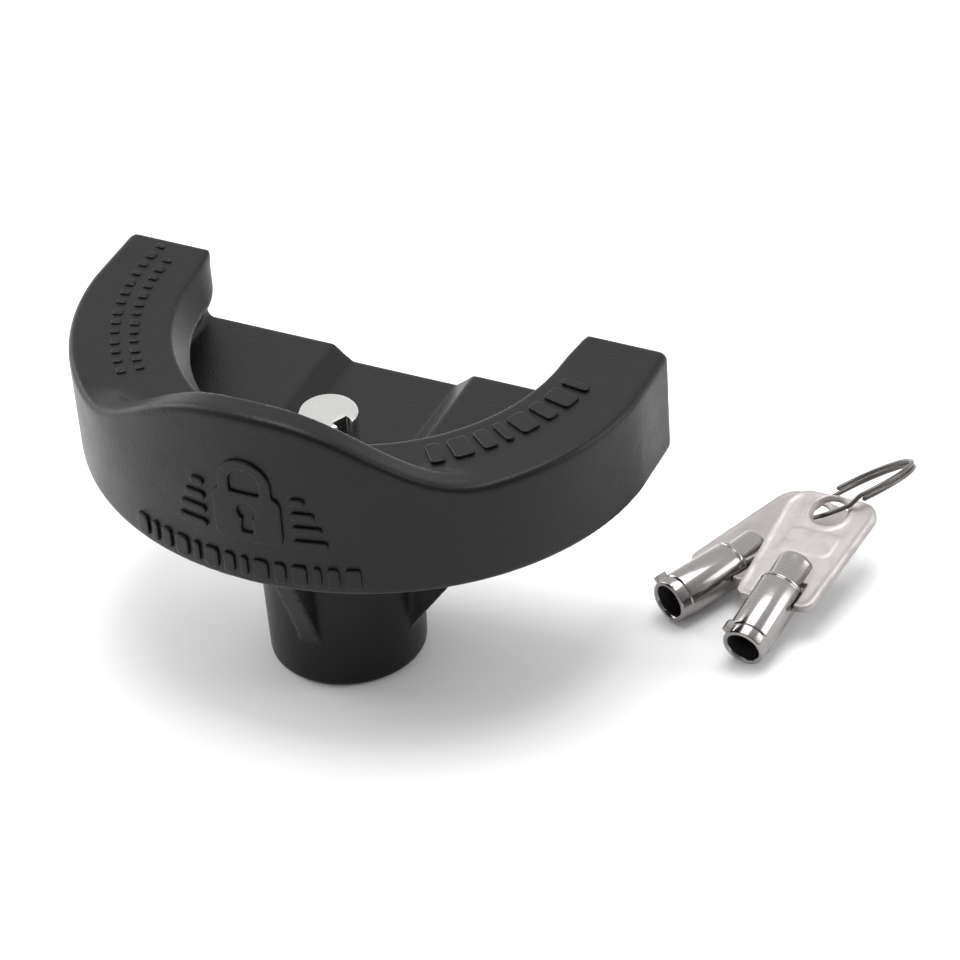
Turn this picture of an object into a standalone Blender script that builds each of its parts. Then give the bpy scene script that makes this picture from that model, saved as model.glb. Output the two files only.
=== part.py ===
"""Trailer coupler lock: a cast horseshoe cradle with a key-operated locking plunger, and two tubular keys.

The coupler's flange slides in between the plate and the lips of the cradle, and the locking pin stands up
into the ball socket. The lock barrel, its bolt and the pin form one plunger, which slides down out of the
boss when the barrel's bolt is drawn back by the key.

Frame: origin on the plunger's axis at the mouth of the boss, +X to the right arm, +Y to the open end, +Z up.
All sizes below are millimetres; add_object turns them into metres.
"""

import math

import bmesh
import bpy
from mathutils import Matrix, Vector

MM = 0.001
GAP = 0.3
FULL_TURN = 2 * math.pi

# Heights of the casting
PLATE_UNDERSIDE_Z = 41.6
CHANNEL_FLOOR_Z = 45.3
PLATE_TOP_Z = 48.8
ARM_TOP_Z = 66.2

# Outline of the casting, seen from above
OUTER_HALF_WIDTH = 63.1
OUTER_FRONT_REACH = 57.9
OUTER_CENTRE_Y = 19.25
REAR_HALF_WIDTH = 62.3
REAR_Y = 34.9
LIP_CENTRE_Y = 24.5
REAR_CORNER = 1.2
REAR_CORNER_START = 0.925
OUTER_DRAFT = 0.9
TOP_EDGE_RADIUS = 1.6

# Inner side of the wall from the arm's top down to the plate: radius round the front, half width at the
# arm's end, height
LIP_PROFILE = (
    (43.4, 44.2, 66.2),
    (42.7, 43.6, 65.7),
    (39.7, 44.2, 60.9),
    (39.2, 44.4, 60.2),
    (39.5, 44.5, 59.3),
    (44.6, 44.7, 58.0),
    (45.3, 44.9, 57.2),
    (45.4, 45.5, 50.0),
    (44.6, 44.9, 48.8),
)

# Steps that round the wall: over its outer edge, down the shield's fillet, and along the horseshoe
EDGE_STEPS = (0, 30, 60, 90)
FILLET_STEPS = (0, 22.5, 45, 67.5, 90)
ARC_STEPS = 48
ARM_STEPS = (0.3, 0.6, 0.85, 0.925, 0.975, 1.0)

# Raised shield over the front wall
SHIELD_HEIGHT = 19.4
SHIELD_HALF_SPAN = 48.0
SHIELD_SHAPE = 1.3
SHIELD_THICKNESS = 6.5
SHIELD_FILLET = 6.0
SHIELD_INNER_EDGE = ((0.9, 0.0), (0.2, 0.25), (0.0, 0.9))

# Channel that runs through the plate, front to back
CHANNEL_FLOOR_WIDTH = 24.1
CHANNEL_TOP_WIDTH = 32.6
CHANNEL_FRONT_Y = -16.5

# Boss that holds the plunger, and its four gussets
BOSS_RADIUS = 16.4
BOSS_TOP_RADIUS = 17.7
BOSS_EDGE = 1.2
BOSS_BORE_RADIUS = 11.3
BOSS_BORE_ROOF_Z = 37.0
PIN_BORE_RADIUS = 6.65
GUSSET_THICKNESS = 5.0
SIDE_GUSSET = {"reach": 40.3, "foot_z": 9.5}
FRONT_GUSSET = {"reach": 29.9, "foot_z": 11.0}
GUSSET_ROOT = 13.0
GUSSET_TOE = 16.5

# Plunger: barrel shell, carrier flange and locking pin
TRAVEL = 14.5
SHELL_RADIUS = 11.0
SHELL_FACE_Z = 0.2
SHELL_TOP_Z = 27.5
CAM_POCKET_RADIUS = 8.0
CAM_POCKET_Z = 20.2
WEB_UNDERSIDE_Z = 18.2
ROTOR_BORE_RADIUS = 6.6
KEYWAY_RADIUS = 5.3
FACE_THICKNESS = 2.6
PIN_RADIUS = 6.35
PIN_TOP_Z = 59.8
PIN_NOTCH_ANGLE = math.radians(-27.5)
PIN_NOTCH_WIDTH = 3.6
PIN_NOTCH_DEPTH = 2.3
PIN_NOTCH_FOOT_Z = 40.0
FLANGE_RADIUS = 10.8
FLANGE_THICKNESS = 2.6
CARRIER_SCREW_RADIUS = 9.5
CARRIER_SCREW_ANGLES = (math.radians(45), math.radians(225))
CARRIER_SCREW_HOLE = 0.8
CARRIER_SCREW_TIP_Z = 23.2
CARRIER_SCREW_SHANK = 0.55
CARRIER_SCREW_HEAD = 1.25
RETURN_SPRING_RADIUS = 7.4
RETURN_SPRING_WIRE = 0.5
RETURN_SPRING_TURNS = 3.5
SEAL_Z = 4.6
SEAL_RADIUS = 10.5
SEAL_WIRE = 0.55
SEAL_GROOVE_Z = (3.7, 5.5)
SEAL_GROOVE_RADIUS = 9.75

# Axial-pin lock inside the shell
SPINDLE_POST_RADIUS = 3.0
SPINDLE_STEM_RADIUS = 2.1
ROTOR_RADIUS = 6.3
ROTOR_Z = 8.3
SHEAR_LINE_Z = 13.15
LOCK_PIN_COUNT = 7
LOCK_PIN_CIRCLE = 4.3
LOCK_PIN_RADIUS = 0.6
LOCK_PIN_HOLE = 0.85
STACK_STEP = 3
KEY_PIN_Z = (7.2, 12.7)
KEY_PIN_NOSE = 0.3
DRIVER_PIN_Z = (13.5, 15.2)
DRIVER_SPRING_Z = (15.4, 17.7)
DRIVER_SPRING_RADIUS = 0.5
DRIVER_SPRING_WIRE = 0.11
DRIVER_BORE = 2.35
BLOCK_PIN_Z = 15.6
BLOCK_PIN_RADIUS = 0.75
BLOCK_PIN_HOLE = 1.0
CAM_RADIUS = 5.0
CAM_BORE = 2.25
CAM_TOP_Z = 22.2
CAM_THROW = 3.6
CAM_PIN_RADIUS = 0.9
CAM_LAG = 0.76
BOLT_TIP_X = -13.2
BOLT_HALF_WIDTH = 3.5
BOLT_Z = (22.6, 26.2)

# Guide screw that keeps the plunger in the boss
GUIDE_SCREW_Z = 8.0
GUIDE_SCREW_RADIUS = 1.75
GUIDE_SCREW_NOSE = 1.2
GUIDE_SCREW_Y = (9.6, 11.6, 12.1, 16.0)
GUIDE_SCREW_SOCKET = 0.95
GUIDE_SLOT_HALF_WIDTH = 1.6
GUIDE_SLOT_FLOOR = 9.3

# Tubular keys, measured from the mouth of the barrel
KEY_BARREL_RADIUS = 5.0
KEY_BORE_RADIUS = 3.5
KEY_BORE_DEPTH = 11.0
KEY_NECK_RADIUS = 4.2
KEY_SHOULDER = 18.5
KEY_NECK_END = 26.0
KEY_SLIT_START = 20.0
KEY_BOW_START = 13.5
KEY_BOW_END = 45.5
KEY_BOW_HALF_WIDTH = 10.5
KEY_BOW_NEAR_HALF_WIDTH = 9.0
KEY_BOW_CORNER = 4.5
KEY_BOW_NEAR_CORNER = 2.5
KEY_BOW_THICKNESS = 1.6
KEY_BOW_BEVEL = 0.35
KEY_HOLE_AT = 41.0
KEY_HOLE_RADIUS = 3.7

KEY_A_MOUTH = (82.0, 19.5, 5.1)
KEY_A_TURN = (math.radians(86.9), math.radians(9.8), math.radians(-2.9))
KEY_B_MOUTH = (60.7, 28.6, 5.1)
KEY_B_TURN = (math.radians(67.6), math.radians(0.2), math.radians(-8.0))
RING_CENTRE = (85.37, 72.11, 9.48)
RING_NORMAL = (-0.52, 0.233, 0.821)
RING_RADIUS = 12.34
RING_WIRE = 0.5


# ---- building blocks -------------------------------------------------------------------------------------


def clear_scene():
    for thing in list(bpy.data.objects):
        bpy.data.objects.remove(thing, do_unlink=True)


def look(name, colour, roughness, metallic):
    """A plain Principled material; colour is linear red, green and blue."""
    material = bpy.data.materials.new(name)
    material.use_nodes = True
    shader = material.node_tree.nodes["Principled BSDF"]
    shader.inputs["Base Color"].default_value = (*colour, 1)
    shader.inputs["Roughness"].default_value = roughness
    shader.inputs["Metallic"].default_value = metallic
    return material


def add_object(name, bm, material, parent=None):
    """Turns a closed bmesh in millimetres into an object in metres."""
    bmesh.ops.recalc_face_normals(bm, faces=bm.faces)
    bmesh.ops.scale(bm, vec=(MM, MM, MM), verts=bm.verts)
    mesh = bpy.data.meshes.new(name)
    bm.to_mesh(mesh)
    bm.free()
    mesh.shade_smooth()
    mesh.set_sharp_from_angle(angle=math.radians(35))
    mesh.materials.append(material)
    thing = bpy.data.objects.new(name, mesh)
    bpy.context.scene.collection.objects.link(thing)
    thing.parent = parent
    return thing


def add_empty(name, at=(0, 0, 0), turn=None):
    """A marker on a joint's axis, which the moving pieces hang from."""
    empty = bpy.data.objects.new(name, None)
    empty.location = Vector(at) * MM
    if turn:
        empty.rotation_euler = turn.to_euler()
    bpy.context.scene.collection.objects.link(empty)
    return empty


def combine(target, bm, operation, name):
    """Adds (UNION) or cuts away (DIFFERENCE) a shape, kept as a hidden guide with the same parent."""
    guide = add_object(name, bm, target.data.materials[0], target.parent)
    guide.hide_render = True
    guide.display_type = "WIRE"
    step = target.modifiers.new(name, "BOOLEAN")
    step.operation = operation
    step.solver = "EXACT"
    step.object = guide


def loft(rings):
    """A closed body through rings that have the same number of points, with a flat cap at each end."""
    bm = bmesh.new()
    loops = [[bm.verts.new(point) for point in ring] for ring in rings]
    for low, high in zip(loops, loops[1:]):
        for i in range(len(low)):
            j = (i + 1) % len(low)
            bm.faces.new((low[i], low[j], high[j], high[i]))
    bm.faces.new(list(reversed(loops[0])))
    bm.faces.new(loops[-1])
    return bm


def together(shapes):
    """Puts several closed bodies in one mesh, to cut with in one step."""
    whole = bmesh.new()
    for bm in shapes:
        mesh = bpy.data.meshes.new("piece")
        bm.to_mesh(mesh)
        bm.free()
        whole.from_mesh(mesh)
        bpy.data.meshes.remove(mesh)
    return whole


def circle(radius, z, segments, centre=(0, 0)):
    steps = [FULL_TURN * i / segments for i in range(segments)]
    return [(centre[0] + radius * math.cos(a), centre[1] + radius * math.sin(a), z) for a in steps]


def rod(profile, segments, centre=(0, 0)):
    """A solid turned piece: profile is (radius, z) from one end to the other."""
    return loft([circle(radius, z, segments, centre) for radius, z in profile])


def tube(profile, segments):
    """A turned piece with a through hole: profile is the closed outline (radius, z) of its wall."""
    bm = bmesh.new()
    loops = [[bm.verts.new(point) for point in circle(radius, z, segments)] for radius, z in profile]
    for k, low in enumerate(loops):
        high = loops[(k + 1) % len(loops)]
        for i in range(segments):
            j = (i + 1) % segments
            bm.faces.new((low[i], low[j], high[j], high[i]))
    return bm


def block(low, high):
    x0, y0, z0 = low
    x1, y1, z1 = high
    return loft([[(x0, y0, z), (x1, y0, z), (x1, y1, z), (x0, y1, z)] for z in (z0, z1)])


def prism_x(outline, x0, x1):
    """An outline of (y, z) points extruded along X."""
    return loft([[(x, y, z) for y, z in outline] for x in (x0, x1)])


def turned_to(bm, matrix):
    bmesh.ops.transform(bm, matrix=matrix, verts=bm.verts)
    return bm


def point_along_y(z):
    """Turns a piece that was made along +Z so that it points along +Y at a height."""
    return Matrix.Translation((0, 0, z)) @ Matrix.Rotation(-math.pi / 2, 4, "X")


def sweep(path, radius, sides, closed=False):
    """A round wire along a list of points."""
    count = len(path)
    rings = []
    for i, point in enumerate(path):
        before = path[i - 1] if closed or i > 0 else point
        after = path[(i + 1) % count] if closed or i < count - 1 else point
        along = (after - before).normalized()
        side = along.cross(Vector((0, 0, 1))).normalized()
        up = side.cross(along)
        steps = [FULL_TURN * k / sides for k in range(sides)]
        rings.append([point + radius * (side * math.cos(a) + up * math.sin(a)) for a in steps])
    if not closed:
        return loft(rings)
    bm = bmesh.new()
    loops = [[bm.verts.new(point) for point in ring] for ring in rings]
    for k in range(count):
        low, high = loops[k], loops[(k + 1) % count]
        for i in range(sides):
            j = (i + 1) % sides
            bm.faces.new((low[i], low[j], high[j], high[i]))
    return bm


def coil(mean_radius, wire, z0, z1, turns, per_turn, sides, centre=(0, 0)):
    """A compression spring between two heights."""
    count = int(turns * per_turn) + 1
    path = []
    for i in range(count):
        angle = FULL_TURN * turns * i / (count - 1)
        z = z0 + wire + (z1 - z0 - 2 * wire) * i / (count - 1)
        x = centre[0] + mean_radius * math.cos(angle)
        y = centre[1] + mean_radius * math.sin(angle)
        path.append(Vector((x, y, z)))
    return sweep(path, wire, sides)


# ---- casting ---------------------------------------------------------------------------------------------


def shield_rise(x):
    """How far the front wall rises above the arms at a distance x from the middle."""
    share = min(abs(x) / SHIELD_HALF_SPAN, 1)
    return SHIELD_HEIGHT * math.cos(math.pi / 2 * share**SHIELD_SHAPE) ** 2


def cradle_sections():
    """Cross-sections of the wall from the left arm's end, round the front, to the right arm's end.

    Each is an angle round the front, or a side and how far along that arm it is, from 0 to 1.
    """
    left = [{"side": -1, "along": along} for along in reversed(ARM_STEPS)]
    front = [{"angle": -math.pi + math.pi * i / ARC_STEPS} for i in range(ARC_STEPS + 1)]
    right = [{"side": 1, "along": along} for along in ARM_STEPS]
    return left + front + right


def outer_point(section, inset, z):
    """A point on the outline seen from above, or that far inside it."""
    if "angle" in section:
        c, s = math.cos(section["angle"]), math.sin(section["angle"])
        x, y = OUTER_HALF_WIDTH * c, OUTER_CENTRE_Y + OUTER_FRONT_REACH * s
        normal = Vector((c / OUTER_HALF_WIDTH, s / OUTER_FRONT_REACH)).normalized()
        return (x - inset * normal.x, y - inset * normal.y, z)
    along, side = section["along"], section["side"]
    width = OUTER_HALF_WIDTH + (REAR_HALF_WIDTH - OUTER_HALF_WIDTH) * along
    corner = REAR_CORNER * max(0, (along - REAR_CORNER_START) / (1 - REAR_CORNER_START)) ** 2
    return (side * (width - inset - corner), OUTER_CENTRE_Y + (REAR_Y - OUTER_CENTRE_Y) * along, z)


def inner_point(section, radius, rear_half_width, z):
    """A point on the inner side of the wall: a half circle round the front, then arms that flare out."""
    if "angle" in section:
        c, s = math.cos(section["angle"]), math.sin(section["angle"])
        return (radius * c, LIP_CENTRE_Y + radius * s, z)
    along, side = section["along"], section["side"]
    flare = 0.35 * along + 0.65 * along**2
    width = radius + (rear_half_width - radius) * flare
    return (side * width, LIP_CENTRE_Y + (REAR_Y - LIP_CENTRE_Y) * along, z)


def wall_profile(section):
    """Points round one cross-section, from under the outer wall, over the top and the lip, to the plate."""
    rise = shield_rise(outer_point(section, 0, 0)[0]) if "angle" in section else 0.0
    top = ARM_TOP_Z + rise
    edge = TOP_EDGE_RADIUS
    points = [outer_point(section, OUTER_DRAFT + 1, PLATE_UNDERSIDE_Z)]
    points.append(outer_point(section, OUTER_DRAFT, PLATE_UNDERSIDE_Z + 1))
    for turn in EDGE_STEPS:
        a = math.radians(turn)
        points.append(outer_point(section, edge * (1 - math.cos(a)), top - edge * (1 - math.sin(a))))
    for inset, drop in SHIELD_INNER_EDGE:
        points.append(outer_point(section, SHIELD_THICKNESS - inset, max(ARM_TOP_Z, top - drop)))
    fillet_height = min(SHIELD_FILLET, 0.8 * rise)
    for turn in FILLET_STEPS:
        a = math.radians(turn)
        inset = SHIELD_THICKNESS + 0.2 + SHIELD_FILLET * (1 - math.cos(a))
        points.append(outer_point(section, inset, ARM_TOP_Z + fillet_height * (1 - math.sin(a))))
    points.extend(inner_point(section, radius, rear, z) for radius, rear, z in LIP_PROFILE)
    return points


def cradle_mesh():
    """The horseshoe with its plate as one closed skin."""
    bm = bmesh.new()
    rows = [[bm.verts.new(point) for point in wall_profile(section)] for section in cradle_sections()]
    for near, far in zip(rows, rows[1:]):
        for i in range(len(near) - 1):
            bm.faces.new((near[i], far[i], far[i + 1], near[i + 1]))
    bm.faces.new([row[-1] for row in rows])
    bm.faces.new([row[0] for row in reversed(rows)])
    bm.faces.new(rows[0] + list(reversed(rows[-1])))
    return bm


def channel_cutter():
    slope = (CHANNEL_TOP_WIDTH - CHANNEL_FLOOR_WIDTH) / 2 / (PLATE_TOP_Z - CHANNEL_FLOOR_Z)
    rings = []
    for z in (CHANNEL_FLOOR_Z, PLATE_TOP_Z + 1):
        half = CHANNEL_FLOOR_WIDTH / 2 + slope * (z - CHANNEL_FLOOR_Z)
        front = CHANNEL_FRONT_Y - (z - CHANNEL_FLOOR_Z)
        rings.append([(-half, front, z), (half, front, z), (half, REAR_Y + 5, z), (-half, REAR_Y + 5, z)])
    return loft(rings)


def gusset_mesh(angle, reach, foot_z):
    half = GUSSET_THICKNESS / 2
    inside_plate = PLATE_UNDERSIDE_Z + 1.5
    outline = [(GUSSET_ROOT, foot_z), (GUSSET_TOE, foot_z), (reach, PLATE_UNDERSIDE_Z)]
    outline += [(reach, inside_plate), (GUSSET_ROOT, inside_plate)]
    return turned_to(prism_x(outline, -half, half), Matrix.Rotation(angle - math.pi / 2, 3, "Z"))


def make_lock_body(material):
    """The die-cast cradle, its boss and gussets in one piece."""
    body = add_object("lock_body", cradle_mesh(), material)
    boss = [(BOSS_RADIUS - BOSS_EDGE, 0), (BOSS_RADIUS - 0.3, 0.3), (BOSS_RADIUS, BOSS_EDGE)]
    boss.append((BOSS_TOP_RADIUS, PLATE_UNDERSIDE_Z + 1))
    combine(body, rod(boss, 64), "UNION", "boss")
    for i, size in enumerate((SIDE_GUSSET, FRONT_GUSSET, SIDE_GUSSET, FRONT_GUSSET)):
        combine(body, gusset_mesh(i * math.pi / 2, **size), "UNION", f"gusset_{i + 1}")
    combine(body, channel_cutter(), "DIFFERENCE", "channel")
    bore = [(BOSS_BORE_RADIUS + 1.6, -0.8), (BOSS_BORE_RADIUS, 0.8), (BOSS_BORE_RADIUS, BOSS_BORE_ROOF_Z)]
    bore += [(PIN_BORE_RADIUS, BOSS_BORE_ROOF_Z), (PIN_BORE_RADIUS, PLATE_TOP_Z)]
    combine(body, rod(bore, 64), "DIFFERENCE", "plunger_bore")
    low_z = BOLT_Z[0] - TRAVEL - 0.6
    half = BOLT_HALF_WIDTH + 0.4
    groove = block((BOLT_TIP_X - 0.6, -half, low_z), (-10, half, BOLT_Z[1] + 0.6))
    combine(body, groove, "DIFFERENCE", "bolt_groove")
    hole = rod([(GUIDE_SCREW_RADIUS + GAP, 8), (GUIDE_SCREW_RADIUS + GAP, 20)], 24)
    combine(body, turned_to(hole, point_along_y(GUIDE_SCREW_Z)), "DIFFERENCE", "guide_screw_hole")


# ---- plunger ---------------------------------------------------------------------------------------------


def make_lock_shell(material, parent):
    face_top = SHELL_FACE_Z + FACE_THICKNESS
    groove_low, groove_high = SEAL_GROOVE_Z
    wall = [(SHELL_RADIUS - 0.5, SHELL_FACE_Z), (SHELL_RADIUS, SHELL_FACE_Z + 0.5)]
    wall += [(SHELL_RADIUS, groove_low), (SEAL_GROOVE_RADIUS, groove_low)]
    wall += [(SEAL_GROOVE_RADIUS, groove_high), (SHELL_RADIUS, groove_high), (SHELL_RADIUS, SHELL_TOP_Z)]
    wall += [(CAM_POCKET_RADIUS, SHELL_TOP_Z), (CAM_POCKET_RADIUS, CAM_POCKET_Z)]
    wall += [(SPINDLE_STEM_RADIUS + GAP, CAM_POCKET_Z), (SPINDLE_STEM_RADIUS + GAP, WEB_UNDERSIDE_Z)]
    wall += [(ROTOR_BORE_RADIUS, WEB_UNDERSIDE_Z), (ROTOR_BORE_RADIUS, face_top)]
    wall += [(KEYWAY_RADIUS, face_top), (KEYWAY_RADIUS, SHELL_FACE_Z)]
    shell = add_object("lock_shell", tube(wall, 48), material, parent)
    slot_bottom = GUIDE_SCREW_Z - GUIDE_SCREW_RADIUS - 0.05
    slot_top = GUIDE_SCREW_Z + TRAVEL + GUIDE_SCREW_RADIUS
    half = GUIDE_SLOT_HALF_WIDTH
    slot = block((-half, GUIDE_SLOT_FLOOR, slot_bottom), (half, SHELL_RADIUS + 1, slot_top))
    combine(shell, slot, "DIFFERENCE", "guide_slot")
    half = BOLT_HALF_WIDTH + 0.4
    window = block((-12, -half, BOLT_Z[0] - GAP), (-6, half, SHELL_TOP_Z + 1))
    combine(shell, window, "DIFFERENCE", "bolt_window")
    combine(shell, block((-0.8, 4.5, -1), (0.8, 6.3, face_top + 1)), "DIFFERENCE", "key_lug_notch")
    for i, angle in enumerate(CARRIER_SCREW_ANGLES):
        hole = carrier_hole(angle, CARRIER_SCREW_TIP_Z - 0.7, SHELL_TOP_Z + 1)
        combine(shell, hole, "DIFFERENCE", f"shell_screw_hole_{i + 1}")
    hole = rod([(BLOCK_PIN_HOLE, -SHELL_RADIUS - 1), (BLOCK_PIN_HOLE, 0.6 - ROTOR_BORE_RADIUS)], 16)
    combine(shell, turned_to(hole, point_along_y(BLOCK_PIN_Z)), "DIFFERENCE", "block_pin_hole_in_shell")


def carrier_hole(angle, z0, z1):
    """Clears one of the two screws that hold the pin's flange on the shell."""
    centre = (CARRIER_SCREW_RADIUS * math.cos(angle), CARRIER_SCREW_RADIUS * math.sin(angle))
    return rod([(CARRIER_SCREW_HOLE, z0), (CARRIER_SCREW_HOLE, z1)], 16, centre)


def make_locking_pin(material, parent):
    flange_z = SHELL_TOP_Z + GAP
    flange_top = flange_z + FLANGE_THICKNESS
    profile = [(FLANGE_RADIUS, flange_z), (FLANGE_RADIUS, flange_top), (PIN_RADIUS, flange_top)]
    profile += [(PIN_RADIUS, PIN_TOP_Z - 0.8), (PIN_RADIUS - 0.25, PIN_TOP_Z - 0.25)]
    profile += [(PIN_RADIUS - 0.8, PIN_TOP_Z)]
    pin = add_object("locking_pin", rod(profile, 48), material, parent)
    half = PIN_NOTCH_WIDTH / 2
    floor_x = PIN_RADIUS - PIN_NOTCH_DEPTH
    notch = block((floor_x, -half, PIN_NOTCH_FOOT_Z), (PIN_RADIUS + 2, half, PIN_TOP_Z + 1))
    combine(pin, turned_to(notch, Matrix.Rotation(PIN_NOTCH_ANGLE, 3, "Z")), "DIFFERENCE", "pin_notch")
    for i, angle in enumerate(CARRIER_SCREW_ANGLES):
        hole = carrier_hole(angle, flange_z - 1, flange_top + 1)
        combine(pin, hole, "DIFFERENCE", f"flange_screw_hole_{i + 1}")


def make_carrier_screws(material, parent):
    head_z = SHELL_TOP_Z + GAP + FLANGE_THICKNESS + GAP
    for i, angle in enumerate(CARRIER_SCREW_ANGLES):
        centre = (CARRIER_SCREW_RADIUS * math.cos(angle), CARRIER_SCREW_RADIUS * math.sin(angle))
        profile = [(CARRIER_SCREW_SHANK, CARRIER_SCREW_TIP_Z), (CARRIER_SCREW_SHANK, head_z)]
        profile += [(CARRIER_SCREW_HEAD, head_z), (CARRIER_SCREW_HEAD, head_z + 0.6), (0.9, head_z + 0.9)]
        add_object(f"carrier_screw_{i + 1}", rod(profile, 16, centre), material, parent)


def make_return_spring(material, parent):
    low = SHELL_TOP_Z + GAP + FLANGE_THICKNESS + GAP
    high = BOSS_BORE_ROOF_Z - GAP
    spring = coil(RETURN_SPRING_RADIUS, RETURN_SPRING_WIRE, low, high, RETURN_SPRING_TURNS, 20, 6)
    add_object("return_spring", spring, material, parent)


def make_seal(material, parent):
    path = [Vector(point) for point in circle(SEAL_RADIUS, SEAL_Z, 40)]
    add_object("dust_seal", sweep(path, SEAL_WIRE, 8, closed=True), material, parent)


def make_guide_screw(material):
    tip, nose_end, thread, face = GUIDE_SCREW_Y
    profile = [(GUIDE_SCREW_NOSE, tip), (GUIDE_SCREW_NOSE, nose_end)]
    profile += [(GUIDE_SCREW_RADIUS, thread), (GUIDE_SCREW_RADIUS, face)]
    screw = add_object("guide_screw", turned_to(rod(profile, 20), point_along_y(GUIDE_SCREW_Z)), material)
    hexagon = rod([(GUIDE_SCREW_SOCKET, face - 1.4), (GUIDE_SCREW_SOCKET, face + 1)], 6)
    socket = turned_to(hexagon, point_along_y(GUIDE_SCREW_Z))
    combine(screw, socket, "DIFFERENCE", "hex_socket")


# ---- axial-pin lock --------------------------------------------------------------------------------------


def lock_pin_centres():
    for i in range(LOCK_PIN_COUNT):
        angle = math.pi / 2 + FULL_TURN * i / LOCK_PIN_COUNT
        yield i + 1, (LOCK_PIN_CIRCLE * math.cos(angle), LOCK_PIN_CIRCLE * math.sin(angle))


def lock_pin_holes(z0, z1):
    profile = [(LOCK_PIN_HOLE, z0), (LOCK_PIN_HOLE, z1)]
    return together([rod(profile, 12, centre) for _, centre in lock_pin_centres()])


def make_spindle(material, parent):
    post, stem = SPINDLE_POST_RADIUS, SPINDLE_STEM_RADIUS
    top = SHEAR_LINE_Z - 0.15
    profile = [(post, 0), (post, ROTOR_Z), (ROTOR_RADIUS, ROTOR_Z), (ROTOR_RADIUS, top), (stem, top)]
    profile += [(stem, CAM_TOP_Z)]
    spindle = add_object("spindle", rod(profile, 32), material, parent)
    combine(spindle, lock_pin_holes(ROTOR_Z - 1, top + 1), "DIFFERENCE", "rotor_holes")


def make_driver_block(material, parent):
    bottom, top = SHEAR_LINE_Z + 0.15, WEB_UNDERSIDE_Z - GAP
    wall = [(ROTOR_RADIUS, bottom), (ROTOR_RADIUS, top), (DRIVER_BORE, top), (DRIVER_BORE, bottom)]
    driver_block = add_object("driver_block", tube(wall, 32), material, parent)
    combine(driver_block, lock_pin_holes(bottom - 1, top + 1), "DIFFERENCE", "block_holes")
    hole = rod([(BLOCK_PIN_HOLE, -ROTOR_RADIUS - 1.7), (BLOCK_PIN_HOLE, 1.1 - ROTOR_RADIUS)], 16)
    combine(driver_block, turned_to(hole, point_along_y(BLOCK_PIN_Z)), "DIFFERENCE", "block_pin_hole")


def make_block_pin(material, parent):
    pin = rod([(BLOCK_PIN_RADIUS, 0.4 - SHELL_RADIUS), (BLOCK_PIN_RADIUS, 0.8 - ROTOR_RADIUS)], 12)
    add_object("block_pin", turned_to(pin, point_along_y(BLOCK_PIN_Z)), material, parent)


def make_lock_pins(brass, steel, turning, fixed):
    """Seven pin stacks: a key pin in the rotor, then a driver pin and its spring in the block."""
    for i, centre in lock_pin_centres():
        low, high = KEY_PIN_Z
        nose = low + 0.5 * ((i * STACK_STEP) % LOCK_PIN_COUNT) / LOCK_PIN_COUNT
        tip = (LOCK_PIN_RADIUS - 0.25, nose)
        key_pin = rod([tip, (LOCK_PIN_RADIUS, nose + KEY_PIN_NOSE), (LOCK_PIN_RADIUS, high)], 12, centre)
        add_object(f"key_pin_{i}", key_pin, brass, turning)
        driver = rod([(LOCK_PIN_RADIUS, z) for z in DRIVER_PIN_Z], 12, centre)
        add_object(f"driver_pin_{i}", driver, brass, fixed)
        low, high = DRIVER_SPRING_Z
        spring = coil(DRIVER_SPRING_RADIUS, DRIVER_SPRING_WIRE, low, high, 4, 8, 4, centre)
        add_object(f"driver_spring_{i}", spring, steel, fixed)


def make_latch_cam(material, parent):
    """A disc on the spindle's stem, with the crank pin that draws the bolt."""
    bottom, top = CAM_POCKET_Z + GAP, CAM_TOP_Z
    wall = [(CAM_RADIUS, bottom), (CAM_RADIUS, top), (CAM_BORE, top), (CAM_BORE, bottom)]
    cam = add_object("latch_cam", tube(wall, 32), material, parent)
    crank = rod([(CAM_PIN_RADIUS, bottom + 0.4), (CAM_PIN_RADIUS, BOLT_Z[1])], 16, (-CAM_THROW, 0))
    combine(cam, crank, "UNION", "crank_pin")


def make_latch_bolt(material, parent):
    low_z, high_z = BOLT_Z
    bolt = block((BOLT_TIP_X, -BOLT_HALF_WIDTH, low_z), (0, BOLT_HALF_WIDTH, high_z))
    bolt = add_object("latch_bolt", bolt, material, parent)
    reach = CAM_PIN_RADIUS + 0.15
    slot = block((-CAM_THROW - CAM_LAG - reach, -5, low_z - 1), (-CAM_THROW + reach, 1.3, high_z + 1))
    combine(bolt, slot, "DIFFERENCE", "crank_slot")


# ---- keys ------------------------------------------------------------------------------------------------


def key_matrix(mouth, turn):
    """Lays a key, made along +X with its bow in the XY plane, in its place: yaw, then pitch, then roll."""
    yaw, pitch, roll = turn
    spin = Matrix.Rotation(yaw, 4, "Z") @ Matrix.Rotation(-pitch, 4, "Y") @ Matrix.Rotation(roll, 4, "X")
    return Matrix.Translation(mouth) @ spin


def key_barrel_mesh():
    """Turned barrel along +X, bored at its mouth."""
    mouth = [(KEY_BORE_RADIUS, KEY_BORE_DEPTH), (KEY_BORE_RADIUS, 0.3), (KEY_BORE_RADIUS + 0.3, 0)]
    outside = [(KEY_BARREL_RADIUS - 0.4, 0), (KEY_BARREL_RADIUS, 0.4), (KEY_BARREL_RADIUS, KEY_SHOULDER)]
    outside += [(KEY_NECK_RADIUS, KEY_SHOULDER + 0.8), (KEY_NECK_RADIUS, KEY_NECK_END - 0.6)]
    outside += [(KEY_NECK_RADIUS - 0.6, KEY_NECK_END)]
    return turned_to(rod(mouth + outside, 32), Matrix.Rotation(math.pi / 2, 4, "Y"))


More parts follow.
